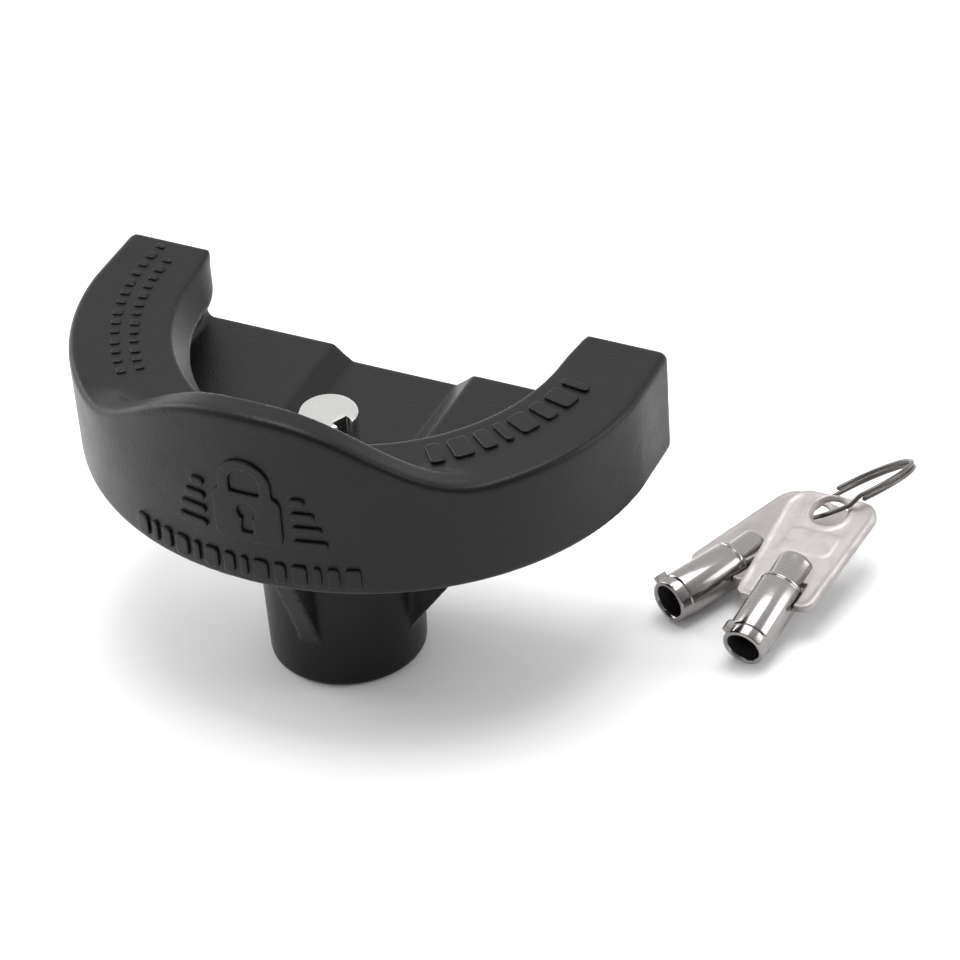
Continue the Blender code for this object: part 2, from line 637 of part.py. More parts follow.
def bow_outline():
    """Half of the bow's outline on the +Y side, from the barrel to the far end, with rounded corners."""
    near, far = KEY_BOW_NEAR_CORNER, KEY_BOW_CORNER
    corners = (
        (KEY_BOW_START + near, KEY_BOW_NEAR_HALF_WIDTH - near, near, 180, 90),
        (KEY_BOW_END - far, KEY_BOW_HALF_WIDTH - far, far, 90, 0),
    )
    points = []
    for x, y, radius, first, last in corners:
        for i in range(6):
            a = math.radians(first + (last - first) * i / 5)
            points.append((x + radius * math.cos(a), y + radius * math.sin(a)))
    return points


def bow_mesh():
    half = bow_outline()
    ring = half + [(x, -y) for x, y in reversed(half)]
    thick, bevel = KEY_BOW_THICKNESS / 2, KEY_BOW_BEVEL
    levels = ((-thick, bevel), (-thick + bevel, 0), (thick - bevel, 0), (thick, bevel))
    middle = (KEY_BOW_START + KEY_BOW_END) / 2
    length = KEY_BOW_END - KEY_BOW_START
    rings = []
    for z, inset in levels:
        sx, sy = 1 - 2 * inset / length, 1 - inset / KEY_BOW_HALF_WIDTH
        rings.append([(middle + (x - middle) * sx, y * sy, z) for x, y in ring])
    return loft(rings)


def make_key(letter, mouth, turn, plated):
    parent = add_empty(f"key_{letter}_mouth", mouth, key_matrix((0, 0, 0), turn).to_3x3())
    barrel = add_object(f"key_{letter}_barrel", key_barrel_mesh(), plated, parent)
    slit = KEY_BOW_THICKNESS / 2 + 0.15
    combine(barrel, block((KEY_SLIT_START, -6, -slit), (30, 6, slit)), "DIFFERENCE", f"slit_{letter}")
    bow = add_object(f"key_{letter}_bow", bow_mesh(), plated, parent)
    hole = rod([(KEY_HOLE_RADIUS, -3), (KEY_HOLE_RADIUS, 3)], 24, (KEY_HOLE_AT, 0))
    combine(bow, hole, "DIFFERENCE", f"ring_hole_{letter}")
    room = KEY_BARREL_RADIUS + 0.2
    notch = block((10, -room, -3), (KEY_SLIT_START + GAP, room, 3))
    combine(bow, notch, "DIFFERENCE", f"barrel_room_{letter}")


def make_key_ring(material):
    toward = Vector(RING_NORMAL).normalized()
    turn = toward.to_track_quat("Z", "Y").to_matrix().to_4x4()
    path = [Vector(point) for point in circle(RING_RADIUS, 0, 48)]
    parent = add_empty("ring_centre", RING_CENTRE)
    add_object("key_ring", turned_to(sweep(path, RING_WIRE, 8, closed=True), turn), material, parent)


# ---- assembly --------------------------------------------------------------------------------------------


def main():
    clear_scene()
    coated = look("black_coated_zinc", (0.035, 0.035, 0.036), 0.45, 0.0)
    steel = look("zinc_plated_steel", (0.72, 0.71, 0.69), 0.3, 1.0)
    nickel = look("nickel_plated_brass", (0.75, 0.73, 0.7), 0.25, 1.0)
    brass = look("brass", (0.72, 0.5, 0.2), 0.35, 1.0)
    rubber = look("rubber", (0.02, 0.02, 0.02), 0.8, 0.0)

    make_lock_body(coated)
    make_guide_screw(steel)
    plunger = add_empty("plunger_axis")
    make_lock_shell(nickel, plunger)
    make_locking_pin(steel, plunger)
    make_carrier_screws(steel, plunger)
    make_return_spring(steel, plunger)
    make_seal(rubber, plunger)
    make_driver_block(brass, plunger)
    make_block_pin(steel, plunger)
    make_latch_bolt(steel, plunger)
    turning = add_empty("spindle_axis")
    make_spindle(nickel, turning)
    make_latch_cam(steel, turning)
    make_lock_pins(brass, steel, turning, plunger)
    make_key("a", KEY_A_MOUTH, KEY_A_TURN, nickel)
    make_key("b", KEY_B_MOUTH, KEY_B_TURN, nickel)
    make_key_ring(steel)


main()
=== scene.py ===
"""Trailer coupler lock: a black cast cradle, its locking plunger, two tubular keys and their ring.

Builds the finished pieces round the frame's solids. Lengths are millimetres unless a name or a unit says
otherwise, and the frame is the casting's own: the plunger's axis is Z, and the arms point along +Y.
"""

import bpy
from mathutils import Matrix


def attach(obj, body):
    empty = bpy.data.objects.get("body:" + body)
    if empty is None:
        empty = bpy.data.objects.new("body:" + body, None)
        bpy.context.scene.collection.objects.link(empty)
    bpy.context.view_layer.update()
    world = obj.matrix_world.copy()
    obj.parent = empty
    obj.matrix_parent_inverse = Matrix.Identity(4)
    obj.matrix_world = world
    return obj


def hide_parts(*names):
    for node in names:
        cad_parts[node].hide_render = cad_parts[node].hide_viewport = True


bl_info = {
    "name": "Coupler lock",
    "version": (1, 0, 0),
    "blender": (4, 5, 0),
    "location": "3D View > Sidebar > Coupler lock",
    "description": "Builds a cast trailer coupler lock and its keys on the frame's solids",
    "category": "Object",
}

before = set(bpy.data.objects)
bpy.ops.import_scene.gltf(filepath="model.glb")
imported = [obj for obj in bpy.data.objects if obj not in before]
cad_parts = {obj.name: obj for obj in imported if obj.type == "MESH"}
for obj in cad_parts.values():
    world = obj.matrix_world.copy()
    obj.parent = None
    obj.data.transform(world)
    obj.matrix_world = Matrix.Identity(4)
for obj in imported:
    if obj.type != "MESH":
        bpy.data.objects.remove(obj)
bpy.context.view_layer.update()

import math

import bmesh
import bpy
from bpy.props import FloatProperty, FloatVectorProperty, PointerProperty
from mathutils import Matrix, Vector
from mathutils.bvhtree import BVHTree

MM = 0.001
PER_MM = 1000.0
FULL_TURN = 2 * math.pi
DEGREES_PER_RADIAN = 57.3

# Heights of the casting
PLATE_UNDERSIDE_Z = 41.6
CHANNEL_FLOOR_Z = 45.3
PLATE_TOP_Z = 48.8
ARM_TOP_Z = 66.2

# Outline of the casting, seen from above
OUTER_HALF_WIDTH = 63.1
OUTER_FRONT_REACH = 57.9
OUTER_CENTRE_Y = 19.25
REAR_HALF_WIDTH = 62.3
REAR_Y = 34.9
LIP_CENTRE_Y = 24.5
REAR_CORNER = 0.5
REAR_CORNER_START = 0.925
ARM_SHARES = (0.1, 0.2, 0.3, 0.4, 0.5, 0.6, 0.7, 0.8, 0.88, 0.925, 0.95, 0.975, 1.0)
FRONT_STEPS = 180
OUTER_DRAFT = 0.9
TOP_EDGE_RADIUS = 1.6

# Inner side of the wall: radius round the front, half width at the arm's end, height
LIP_PROFILE = (
    (43.4, 44.2, 66.2),
    (42.9, 43.8, 66.05),
    (42.6, 43.6, 65.6),
    (41.2, 43.9, 63.3),
    (39.7, 44.2, 60.9),
    (39.3, 44.35, 60.3),
    (39.3, 44.45, 59.7),
    (39.7, 44.5, 59.3),
    (42.1, 44.6, 58.65),
    (44.6, 44.7, 58.0),
    (45.3, 44.9, 57.2),
    (45.35, 45.2, 53.6),
    (45.4, 45.5, 50.0),
    (45.2, 45.2, 49.2),
    (44.6, 44.9, 48.8),
)

# Raised shield over the front wall
SHIELD_HALF_SPAN = 48.0
SHIELD_SHAPE = 1.3
SHIELD_THICKNESS = 6.5
SHIELD_FILLET = 6.0

# Channel, boss, gussets and bores
CHANNEL_FLOOR_WIDTH = 24.1
CHANNEL_TOP_WIDTH = 32.6
CHANNEL_FRONT_Y = -16.5
BOSS_RADIUS = 16.4
BOSS_TOP_RADIUS = 17.7
BOSS_BORE_RADIUS = 11.3
BOSS_BORE_ROOF_Z = 37.0
PIN_BORE_RADIUS = 6.65
GUSSET_THICKNESS = 5.0
GUSSET_ROOT = 13.0
GUSSET_TOE = 16.5
SIDE_GUSSET = {"reach": 40.3, "foot_z": 9.5}
FRONT_GUSSET = {"reach": 29.9, "foot_z": 11.0}
BOLT_GROOVE = ((-13.8, -3.9, 7.5), (-10.0, 3.9, 26.8))
GUIDE_SCREW_Z = 8.0
GUIDE_SCREW_HOLE_RADIUS = 2.05

# Cast marks: how far they reach into the casting, then the padlock sign, its bars and the row below it
MARK_ROOT = -0.8
SIGN_BODY = ((0, 59.4), 15.6, 12.6, 2.0)
KEYHOLE_CENTRE = (0, 61.0)
KEYHOLE_RADIUS = 2.1
KEYHOLE_SKIRT = ((-0.8, 61), (0.8, 61), (1.5, 55.6), (-1.5, 55.6))
SHACKLE = ((0, 68.2), 3.5, 6.1, 3.2)
SIDE_BARS = (7.6, 6.6, 5.2, 3.4)
SIDE_BARS_FROM = 9.9
SIDE_BARS_FOOT_Z = 54.6
SIDE_BARS_PITCH = 3.6
FRONT_BARS = (3.4, 1.8, 2.6, 3.4, 1.8, 3.4, 2.6, 1.8, 3.4, 2.6, 3.4, 1.8, 2.6, 3.4)
FRONT_BARS_FROM = -31.0
FRONT_BARS_Z = 46.2
FRONT_BARS_GAP = 1.3

# Cast marks on the arms: the blocks' widths and circle, then the dashes' lengths and two circles
BLOCKS = (3.2, 4.4, 3.2, 2.0, 4.4, 3.2, 4.4, 2.0)
BLOCKS_RADIUS = 49.6
BLOCKS_PACED_RADIUS = 49
BLOCKS_FROM = -52.0
BLOCKS_GAP = 1.7
DASHES = (1.3, 2.2, 1.7)
DASH_ROWS = ((50.6, 176, 13), (54.6, 172, 14))
DASH_PITCH = 3.6
DASH_ROOT = -0.6

# Locking pin
PIN_RADIUS = 6.35
PIN_TOP_Z = 59.8
PIN_FLANGE = (10.8, 27.8, 30.4)
PIN_NOTCH_ANGLE = math.radians(-27.5)
PIN_NOTCH_WIDTH = 3.6
PIN_NOTCH_DEPTH = 2.3
PIN_END_ROUND = 0.9

# Keys, along +X from the mouth of the barrel, and the ring through their holes
KEY_BARREL_RADIUS = 5.0
KEY_BORE_RADIUS = 3.5
KEY_BORE_DEPTH = 15.0
KEY_NECK_RADIUS = 4.2
KEY_SHOULDER = 18.5
KEY_NECK_END = 26.0
NECK_ROUND = 1.4
KEY_BOW_START = 13.5
KEY_BOW_END = 45.5
KEY_BOW_HALF_WIDTH = 10.5
KEY_BOW_NEAR_HALF_WIDTH = 9.0
KEY_BOW_THICKNESS = 1.6
KEY_BOW_GAP = (10, 20.3)
KEY_SLIT_START = 20.0
KEY_PANEL = ((31.4, 0), 6.6, 11.6, 1.8)
KEY_LUG = ((0.5, -0.75, 4.2), (2.9, 0.75, 5.9))
KEY_LUG_ANGLE = math.radians(-38)
KEY_HOLE_AT = 41.0
KEY_HOLE_RADIUS = 3.7
KEY_HOLE_FLARE = 1.0
KEY_COLLAR_WIDTH = 1.5
KEY_COLLAR_HEIGHT = 0.13
KEY_PLACES = {
    "a": ((82.0, 19.5, 5.1), (math.radians(86.9), math.radians(9.8), math.radians(-2.9))),
    "b": ((60.7, 28.6, 5.1), (math.radians(67.6), math.radians(0.2), math.radians(-8.0))),
}
RING_CENTRE = (85.37, 72.11, 9.48)
RING_NORMAL = (-0.52, 0.233, 0.821)
RING_RADIUS = 12.34
RING_WIRE = 0.5
RING_START = math.radians(60)
RING_TURNS = 1.55
RING_LAP = (0.95, 1.0)

# Camera: its right, up and backward directions, and the point that it looks at
CAMERA_RIGHT = (0.9007, 0.4293, -0.0725)
CAMERA_UP = (-0.2063, 0.5678, 0.7967)
CAMERA_BACK = (0.383, -0.7026, 0.600)
CAMERA_TARGET = (23.6, 19.9, 33.5)
FLOOR_Z = -0.2

# The side of the room that is dimmer, and the lamps: place in metres, size in metres, watts
DIM_SIDE = (0.60, -0.75, 0.28)
LAMPS = {
    "window": ((-1.1, 0.1, 0.6), 0.8, 7.5),
    "side": ((1.2, 0.5, 0.5), 0.7, 5.5),
    "overhead": ((0.0, 0.2, 1.5), 1.0, 15.0),
}


# ---- sizes and colours that a user would change --------------------------------------------------


def linear(hex_colour):
    """An sRGB hex colour as linear red, green and blue."""
    shares = [int(hex_colour[i : i + 2], 16) / 255 for i in (1, 3, 5)]
    return tuple(s / 12.92 if s <= 0.04045 else ((s + 0.055) / 1.055) ** 2.4 for s in shares)


def colour_choice(name, description, hex_colour):
    return FloatVectorProperty(
        name=name, description=description, default=linear(hex_colour), min=0, max=1, subtype="COLOR"
    )


def length_choice(name, description, millimetres):
    return FloatProperty(name=name, description=description, default=millimetres * MM, unit="LENGTH")


class CastingSizes(bpy.types.PropertyGroup):
    shield_height: length_choice("Shield height", "How far the front wall rises above the arms", 19.4)
    cast_grain: length_choice("Cast grain", "Size of the squares that the skin is rebuilt from", 0.5)
    relief_height: length_choice("Relief height", "How far the cast marks stand out", 0.65)


class KeySizes(bpy.types.PropertyGroup):
    rim_height: length_choice("Rim height", "How far the bow's rim stands up from its plate", 0.16)
    rim_width: length_choice("Rim width", "Width of the rim round the bow", 1.1)


class FinishColours(bpy.types.PropertyGroup):
    coat: colour_choice("Coat", "Satin black coat on the casting", "#0d0d0e")
    # Lighter grey for the coat's sharp edges: partly wear, partly a painted highlight along them.
    worn_and_sheen_coat: colour_choice("Worn coat", "The coat where handling has polished its edges", "#2c2c2d")
    steel: colour_choice("Turned steel", "Locking pin and dowel", "#d6d5d3")
    zinc: colour_choice("Zinc plate", "Screws, bolt and cam", "#c4c8cc")
    nickel: colour_choice("Nickel plate", "Barrel shell, spindle and key barrels", "#a29e9d")
    dull_nickel: colour_choice("Dull nickel plate", "Tumbled plate of the keys' bows", "#aca7a6")
    # Colour for the inside of the keys' barrels: much darker than the plate outside.
    bore: colour_choice("Key bore", "Inside of the keys' barrels, dusted with graphite", "#4a4847")
    spring: colour_choice("Spring steel", "Springs and key ring", "#625f5d")
    brass: colour_choice("Brass", "Driver block and lock pins", "#c9a35a")
    rubber: colour_choice("Rubber", "Dust seal", "#1a1a1a")


class StageSettings(bpy.types.PropertyGroup):
    floor: colour_choice("Floor", "The pale table top", "#f7f7f7")
    distance: FloatProperty(
        name="Camera distance", description="From the lens to the lock", default=4.0, unit="LENGTH"
    )
    sky: FloatProperty(name="Soft light", description="Brightness of the light all round", default=1.0)


# ---- meshes --------------------------------------------------------------------------------------


def as_object(name, bm, material=None, matrix=None):
    """Turns a bmesh in millimetres into a smooth-shaded object in metres."""
    bmesh.ops.recalc_face_normals(bm, faces=bm.faces)
    bmesh.ops.scale(bm, vec=(MM, MM, MM), verts=bm.verts)
    mesh = bpy.data.meshes.new(name)
    bm.to_mesh(mesh)
    bm.free()
    mesh.shade_smooth()
    if material:
        mesh.materials.append(material)
    thing = bpy.data.objects.new(name, mesh)
    bpy.context.scene.collection.objects.link(thing)
    if matrix:
        place = matrix.copy()
        place.translation = matrix.translation * MM
        thing.matrix_world = place
    return thing


def loft(rings):
    """A closed body through rings that have the same number of points, with a flat cap at each end."""
    bm = bmesh.new()
    loops = [[bm.verts.new(point) for point in ring] for ring in rings]
    for low, high in zip(loops, loops[1:]):
        for i in range(len(low)):
            j = (i + 1) % len(low)
            bm.faces.new((low[i], low[j], high[j], high[i]))
    bm.faces.new(list(reversed(loops[0])))
    bm.faces.new(loops[-1])
    return bm


def circle(radius, z, segments, centre=(0, 0)):
    steps = [FULL_TURN * i / segments for i in range(segments)]
    return [(centre[0] + radius * math.cos(a), centre[1] + radius * math.sin(a), z) for a in steps]


def rod(profile, segments, centre=(0, 0)):
    """A turned piece: profile is (radius, z) from one end to the other."""
    return loft([circle(radius, z, segments, centre) for radius, z in profile])


def block(low, high):
    x0, y0, z0 = low
    x1, y1, z1 = high
    return loft([[(x0, y0, z), (x1, y0, z), (x1, y1, z), (x0, y1, z)] for z in (z0, z1)])


def together(shapes):
    whole = bmesh.new()
    for bm in shapes:
        mesh = bpy.data.meshes.new("piece")
        bm.to_mesh(mesh)
        bm.free()
        whole.from_mesh(mesh)
        bpy.data.meshes.remove(mesh)
    return whole


def turned_to(bm, matrix):
    bmesh.ops.transform(bm, matrix=matrix, verts=bm.verts)
    return bm


def point_along_y(z):
    return Matrix.Translation((0, 0, z)) @ Matrix.Rotation(-math.pi / 2, 4, "X")


def settled(thing):
    """Replaces the object's mesh with what its modifiers make of it."""
    bpy.context.view_layer.update()
    graph = bpy.context.evaluated_depsgraph_get()
    mesh = bpy.data.meshes.new_from_object(thing.evaluated_get(graph))
    old = thing.data
    thing.modifiers.clear()
    thing.data = mesh
    bpy.data.meshes.remove(old)
    return thing


def combine(target, bm, operation):
    """Adds (UNION) or cuts away (DIFFERENCE) a shape."""
    guide = as_object("guide", bm)
    step = target.modifiers.new("combine", "BOOLEAN")
    step.operation, step.solver, step.object = operation, "EXACT", guide
    settled(target)
    bpy.data.objects.remove(guide, do_unlink=True)


def cast_skin(thing, square, rounds, keep=1.0):
    """Rebuilds the skin in small squares and relaxes it, which rounds each edge and corner as casting does."""
    remesh = thing.modifiers.new("skin", "REMESH")
    remesh.mode, remesh.voxel_size, remesh.use_smooth_shade = "VOXEL", square * MM, True
    relax = thing.modifiers.new("relax", "SMOOTH")
    relax.factor, relax.iterations = 0.5, rounds
    if keep < 1:
        thin = thing.modifiers.new("thin", "DECIMATE")
        thin.ratio = keep
    settled(thing)
    thing.data.shade_smooth()
    return thing


def rounded_box(centre, width, height, radius, turn=0.0, steps=6):
    """Outline of a rectangle with round corners."""
    points = []
    for k, (sx, sy) in enumerate(((1, 1), (-1, 1), (-1, -1), (1, -1))):
        for i in range(steps + 1):
            a = math.pi / 2 * (k + i / steps)
            x = sx * (width / 2 - radius) + radius * math.cos(a)
            y = sy * (height / 2 - radius) + radius * math.sin(a)
            c, s = math.cos(turn), math.sin(turn)
            points.append((centre[0] + c * x - s * y, centre[1] + s * x + c * y))
    return points


def arch(centre, inner, outer, leg, steps=24):
    """Outline of a shackle: half a ring with two straight legs."""
    over = [math.pi * i / steps for i in range(steps + 1)]
    points = [(centre[0] + outer, centre[1] - leg)]
    points += [(centre[0] + outer * math.cos(a), centre[1] + outer * math.sin(a)) for a in over]
    points += [(centre[0] - outer, centre[1] - leg), (centre[0] - inner, centre[1] - leg)]
    points += [(centre[0] + inner * math.cos(a), centre[1] + inner * math.sin(a)) for a in reversed(over)]
    return points + [(centre[0] + inner, centre[1] - leg)]


def slab(outline, low, high):
    return loft([[(x, y, z) for x, y in outline] for z in (low, high)])


# ---- materials -----------------------------------------------------------------------------------


def add(tree, kind, values=None, links=None, **settings):
    """Adds a node: settings are its own, values fill its sockets and links feed them."""
    node = tree.nodes.new("ShaderNode" + kind)
    for name, value in settings.items():
        setattr(node, name, value)
    for socket, value in (values or {}).items():
        node.inputs[socket].default_value = value
    for socket, source in (links or {}).items():
        tree.links.new(source, node.inputs[socket])
    return node


def start_material(name, metallic, roughness, **more):
    """A Principled material in which the values that are the same all over sit on the shader itself."""
    material = bpy.data.materials.new(name)
    material.use_nodes = True
    tree = material.node_tree
    shader = tree.nodes["Principled BSDF"]
    for socket, value in {"Metallic": metallic, "Roughness": roughness, **more}.items():
        shader.inputs[socket.replace("_", " ")].default_value = value
    return material, tree, shader


def wire_up(tree, shader, shade, gloss, bump):
    """Feeds the shader its colour, its roughness where that varies, and its surface relief."""
    tree.links.new(shade.outputs["Result"], shader.inputs["Base Color"])
    if gloss:
        tree.links.new(gloss.outputs[0], shader.inputs["Roughness"])
    tree.links.new(bump.outputs["Normal"], shader.inputs["Normal"])


def coated_casting(name, colours):
    """Zinc die casting under a satin black powder coat: a sandy grain on soft waves, greyer at the edges,
    which is partly handling wear and partly a painted highlight.

    Real powder grain is about 0.2 mm, and is drawn at 0.55 mm so that it shows.
    """
    material, tree, shader = start_material(name, 0.0, 0.42, IOR=1.5, Specular_IOR_Level=0.23)
    place = add(tree, "TexCoord").outputs["Object"]
    grain = add(tree, "TexNoise", {"Scale": PER_MM / 0.55, "Detail": 3, "Roughness": 0.6}, {"Vector": place})
    waves = add(tree, "TexNoise", {"Scale": PER_MM / 3.5, "Detail": 2}, {"Vector": place})
    patches = add(tree, "TexNoise", {"Scale": PER_MM / 18, "Detail": 4, "Roughness": 0.6}, {"Vector": place})
    # Painted highlight: sharp edges get the lighter coat, partly handling wear and partly standing in for the
    # bright line of reflection along them.
    edge = add(
        tree, "MapRange", {"From Min": 0.53, "From Max": 0.62, "To Min": 0.0, "To Max": 0.55},
        {"Value": add(tree, "NewGeometry").outputs["Pointiness"]},
    )
    wear_and_sheen = add(tree, "Math", {}, {0: edge.outputs[0], 1: patches.outputs["Fac"]}, operation="MULTIPLY")
    coat = add(
        tree, "Mix", {"A": (*colours.coat, 1), "B": (*colours.worn_and_sheen_coat, 1)},
        {"Factor": wear_and_sheen.outputs[0]}, data_type="RGBA",
    )
    gloss = add(
        tree, "MapRange", {"From Min": 0.3, "From Max": 0.7, "To Min": 0.3, "To Max": 0.42},
        {"Value": patches.outputs["Fac"]},
    )
    soft = add(tree, "Bump", {"Strength": 0.35, "Distance": 0.12 * MM}, {"Height": waves.outputs["Fac"]})
    fine = add(
        tree, "Bump", {"Strength": 0.8, "Distance": 0.1 * MM},
        {"Height": grain.outputs["Fac"], "Normal": soft.outputs["Normal"]},
    )
    wire_up(tree, shader, coat, gloss, fine)
    return material


def turned_metal(name, colour, roughness, ridge, axis="Z", handled=False):
    """Bright metal off the lathe: rings round the axis, uneven polish, and dull patches where handled.

    A lathe leaves rings about 0.1 mm apart. They are drawn at 0.3 to 0.45 mm so that they show.
    """
    material, tree, shader = start_material(name, 1.0, roughness)
    place = add(tree, "TexCoord").outputs["Object"]
    split = add(tree, "SeparateXYZ", links={0: place})
    flat = add(tree, "CombineXYZ", links={c: split.outputs[c] for c in "XYZ" if c != axis})
    radius = add(tree, "VectorMath", links={0: flat.outputs[0]}, operation="LENGTH")
    lengthwise = add(tree, "Math", {}, {0: radius.outputs["Value"], 1: split.outputs[axis]}, operation="ADD")
    line = add(tree, "CombineXYZ", links={"X": lengthwise.outputs[0]})
    rings = add(
        tree, "TexNoise", {"Scale": PER_MM / ridge, "Detail": 3, "Roughness": 0.7}, {"Vector": line.outputs[0]}
    )
    smears = add(tree, "TexNoise", {"Scale": PER_MM / 3, "Detail": 5, "Roughness": 0.65}, {"Vector": place})
    gloss = add(
        tree, "MapRange",
        {"From Min": 0.3, "From Max": 0.7, "To Min": roughness * 0.75, "To Max": roughness * 1.4},
        {"Value": smears.outputs["Fac"]},
    )
    shade = add(
        tree, "Mix", {"A": (*colour, 1), "B": (*[c * 0.62 for c in colour], 1)},
        {"Factor": (smears if handled else rings).outputs["Fac"]}, data_type="RGBA",
    )
    bump = add(tree, "Bump", {"Strength": 0.25, "Distance": 0.03 * MM}, {"Height": rings.outputs["Fac"]})
    wire_up(tree, shader, shade, gloss, bump)
    return material


def plated_metal(name, colour, roughness, grain, strength=0.2):
    """Plated or drawn metal: a tumbled surface with small dents, short scratches and uneven gloss.

    The dents are 0.4 to 0.6 mm across and the scratches about 0.6 by 8 mm, both coarse enough to show.
    """
    material, tree, shader = start_material(name, 1.0, roughness)
    place = add(tree, "TexCoord").outputs["Object"]
    dents = add(tree, "TexNoise", {"Scale": PER_MM / grain, "Detail": 4, "Roughness": 0.6}, {"Vector": place})
    stretched = add(tree, "Mapping", {"Scale": (1, 14, 14), "Rotation": (0.3, 0.5, 0.9)}, {"Vector": place})
    scratches = add(
        tree, "TexNoise", {"Scale": PER_MM / 8, "Detail": 6, "Roughness": 0.75},
        {"Vector": stretched.outputs[0]},
    )
    smears = add(tree, "TexNoise", {"Scale": PER_MM / 4, "Detail": 3}, {"Vector": place})
    gloss = add(
        tree, "MapRange",
        {"From Min": 0.3, "From Max": 0.7, "To Min": roughness * 0.7, "To Max": roughness * 1.5},
        {"Value": smears.outputs["Fac"]},
    )
    shade = add(
        tree, "Mix", {"A": (*colour, 1), "B": (*[c * 0.8 for c in colour], 1)},
        {"Factor": scratches.outputs["Fac"]}, data_type="RGBA",
    )
    rough = add(tree, "Bump", {"Strength": strength, "Distance": 0.05 * MM}, {"Height": dents.outputs["Fac"]})
    fine = add(
        tree, "Bump", {"Strength": strength * 0.6, "Distance": 0.02 * MM},
        {"Height": scratches.outputs["Fac"], "Normal": rough.outputs["Normal"]},
    )
    wire_up(tree, shader, shade, gloss, fine)
    return material


def moulded_rubber(name, colour):
    """Moulded nitrile rubber: matt black with a fine bloom."""
    material, tree, shader = start_material(name, 0.0, 0.7, IOR=1.52)
    place = add(tree, "TexCoord").outputs["Object"]
    bloom = add(tree, "TexNoise", {"Scale": PER_MM / 0.8, "Detail": 4}, {"Vector": place})
    shade = add(
        tree, "Mix", {"A": (*colour, 1), "B": (*[min(1, c * 1.8) for c in colour], 1)},
        {"Factor": bloom.outputs["Fac"]}, data_type="RGBA",
    )
    bump = add(tree, "Bump", {"Strength": 0.4, "Distance": 0.04 * MM}, {"Height": bloom.outputs["Fac"]})
    wire_up(tree, shader, shade, None, bump)
    return material


def finish(name):
    """The named finish, made once and then shared. No name here is one of the frame's own slots."""
    found = bpy.data.materials.get(name)
    if found:
        return found
    colours = bpy.context.scene.coupler_colours
    makers = {
        # Satin black that stays dark and shows its shape by soft highlights
        "powder_coated_zinc_casting": lambda: coated_casting(name, colours),
        # The one pale spot on the lock: a faced-off end with patches from handling
        "lathe_turned_steel": lambda: turned_metal(name, colours.steel, 0.24, 0.35, handled=True),
        # Bright, slightly warm grey with close rings
        "turned_nickel_plate": lambda: turned_metal(name, colours.nickel, 0.2, 0.3),
        # The same plate on a smoother tube, so light and dark run along it in streaks
        "turned_key_nickel": lambda: turned_metal(name, colours.nickel, 0.17, 0.45, axis="X"),
        # Plate over a tumbled stamping: duller and finely pitted
        "tumbled_nickel_plate": lambda: plated_metal(name, colours.dull_nickel, 0.46, 0.5, 0.7),
        # Cool blue-grey screw finish
        "bright_zinc_plated_steel": lambda: plated_metal(name, colours.zinc, 0.32, 0.4),
        # Nearly black inside the keys
        "near_black_key_bore": lambda: plated_metal(name, colours.bore, 0.6, 0.6, 0.4),
        # Dark oiled wire with a thin bright line of light
        "drawn_spring_steel": lambda: plated_metal(name, colours.spring, 0.3, 0.4),
        # Warm yellow with close rings
        "turned_brass": lambda: turned_metal(name, colours.brass, 0.28, 0.3),
        # Matt black ring that takes no highlight
        "moulded_rubber": lambda: moulded_rubber(name, colours.rubber),
    }
    return makers[name]()


def only_finish(thing, name):
    thing.data.materials.clear()
    thing.data.materials.append(finish(name))


# ---- casting -------------------------------------------------------------------------------------


def shield_rise(x):
    """How far the front wall rises above the arms at a distance x from the middle."""
    share = min(abs(x) / SHIELD_HALF_SPAN, 1)
    height = bpy.context.scene.coupler_casting.shield_height / MM
    return height * math.cos(math.pi / 2 * share**SHIELD_SHAPE) ** 2


def outer_point(section, inset, z):
    """A point on the outline seen from above, or that far inside it."""
    if "angle" in section:
        c, s = math.cos(section["angle"]), math.sin(section["angle"])
        x, y = OUTER_HALF_WIDTH * c, OUTER_CENTRE_Y + OUTER_FRONT_REACH * s
        normal = Vector((c / OUTER_HALF_WIDTH, s / OUTER_FRONT_REACH)).normalized()
        return (x - inset * normal.x, y - inset * normal.y, z)
    along, side = section["along"], section["side"]
    width = OUTER_HALF_WIDTH + (REAR_HALF_WIDTH - OUTER_HALF_WIDTH) * along
    corner = REAR_CORNER * max(0, (along - REAR_CORNER_START) / (1 - REAR_CORNER_START)) ** 2
    return (side * (width - inset - corner), OUTER_CENTRE_Y + (REAR_Y - OUTER_CENTRE_Y) * along, z)


def inner_point(section, radius, rear_half_width, z):
    """A point on the inner side of the wall: a half circle round the front, then arms that flare out."""
    if "angle" in section:
        c, s = math.cos(section["angle"]), math.sin(section["angle"])
        return (radius * c, LIP_CENTRE_Y + radius * s, z)
    along, side = section["along"], section["side"]
    flare = 0.35 * along + 0.65 * along**2
    width = radius + (rear_half_width - radius) * flare
    return (side * width, LIP_CENTRE_Y + (REAR_Y - LIP_CENTRE_Y) * along, z)


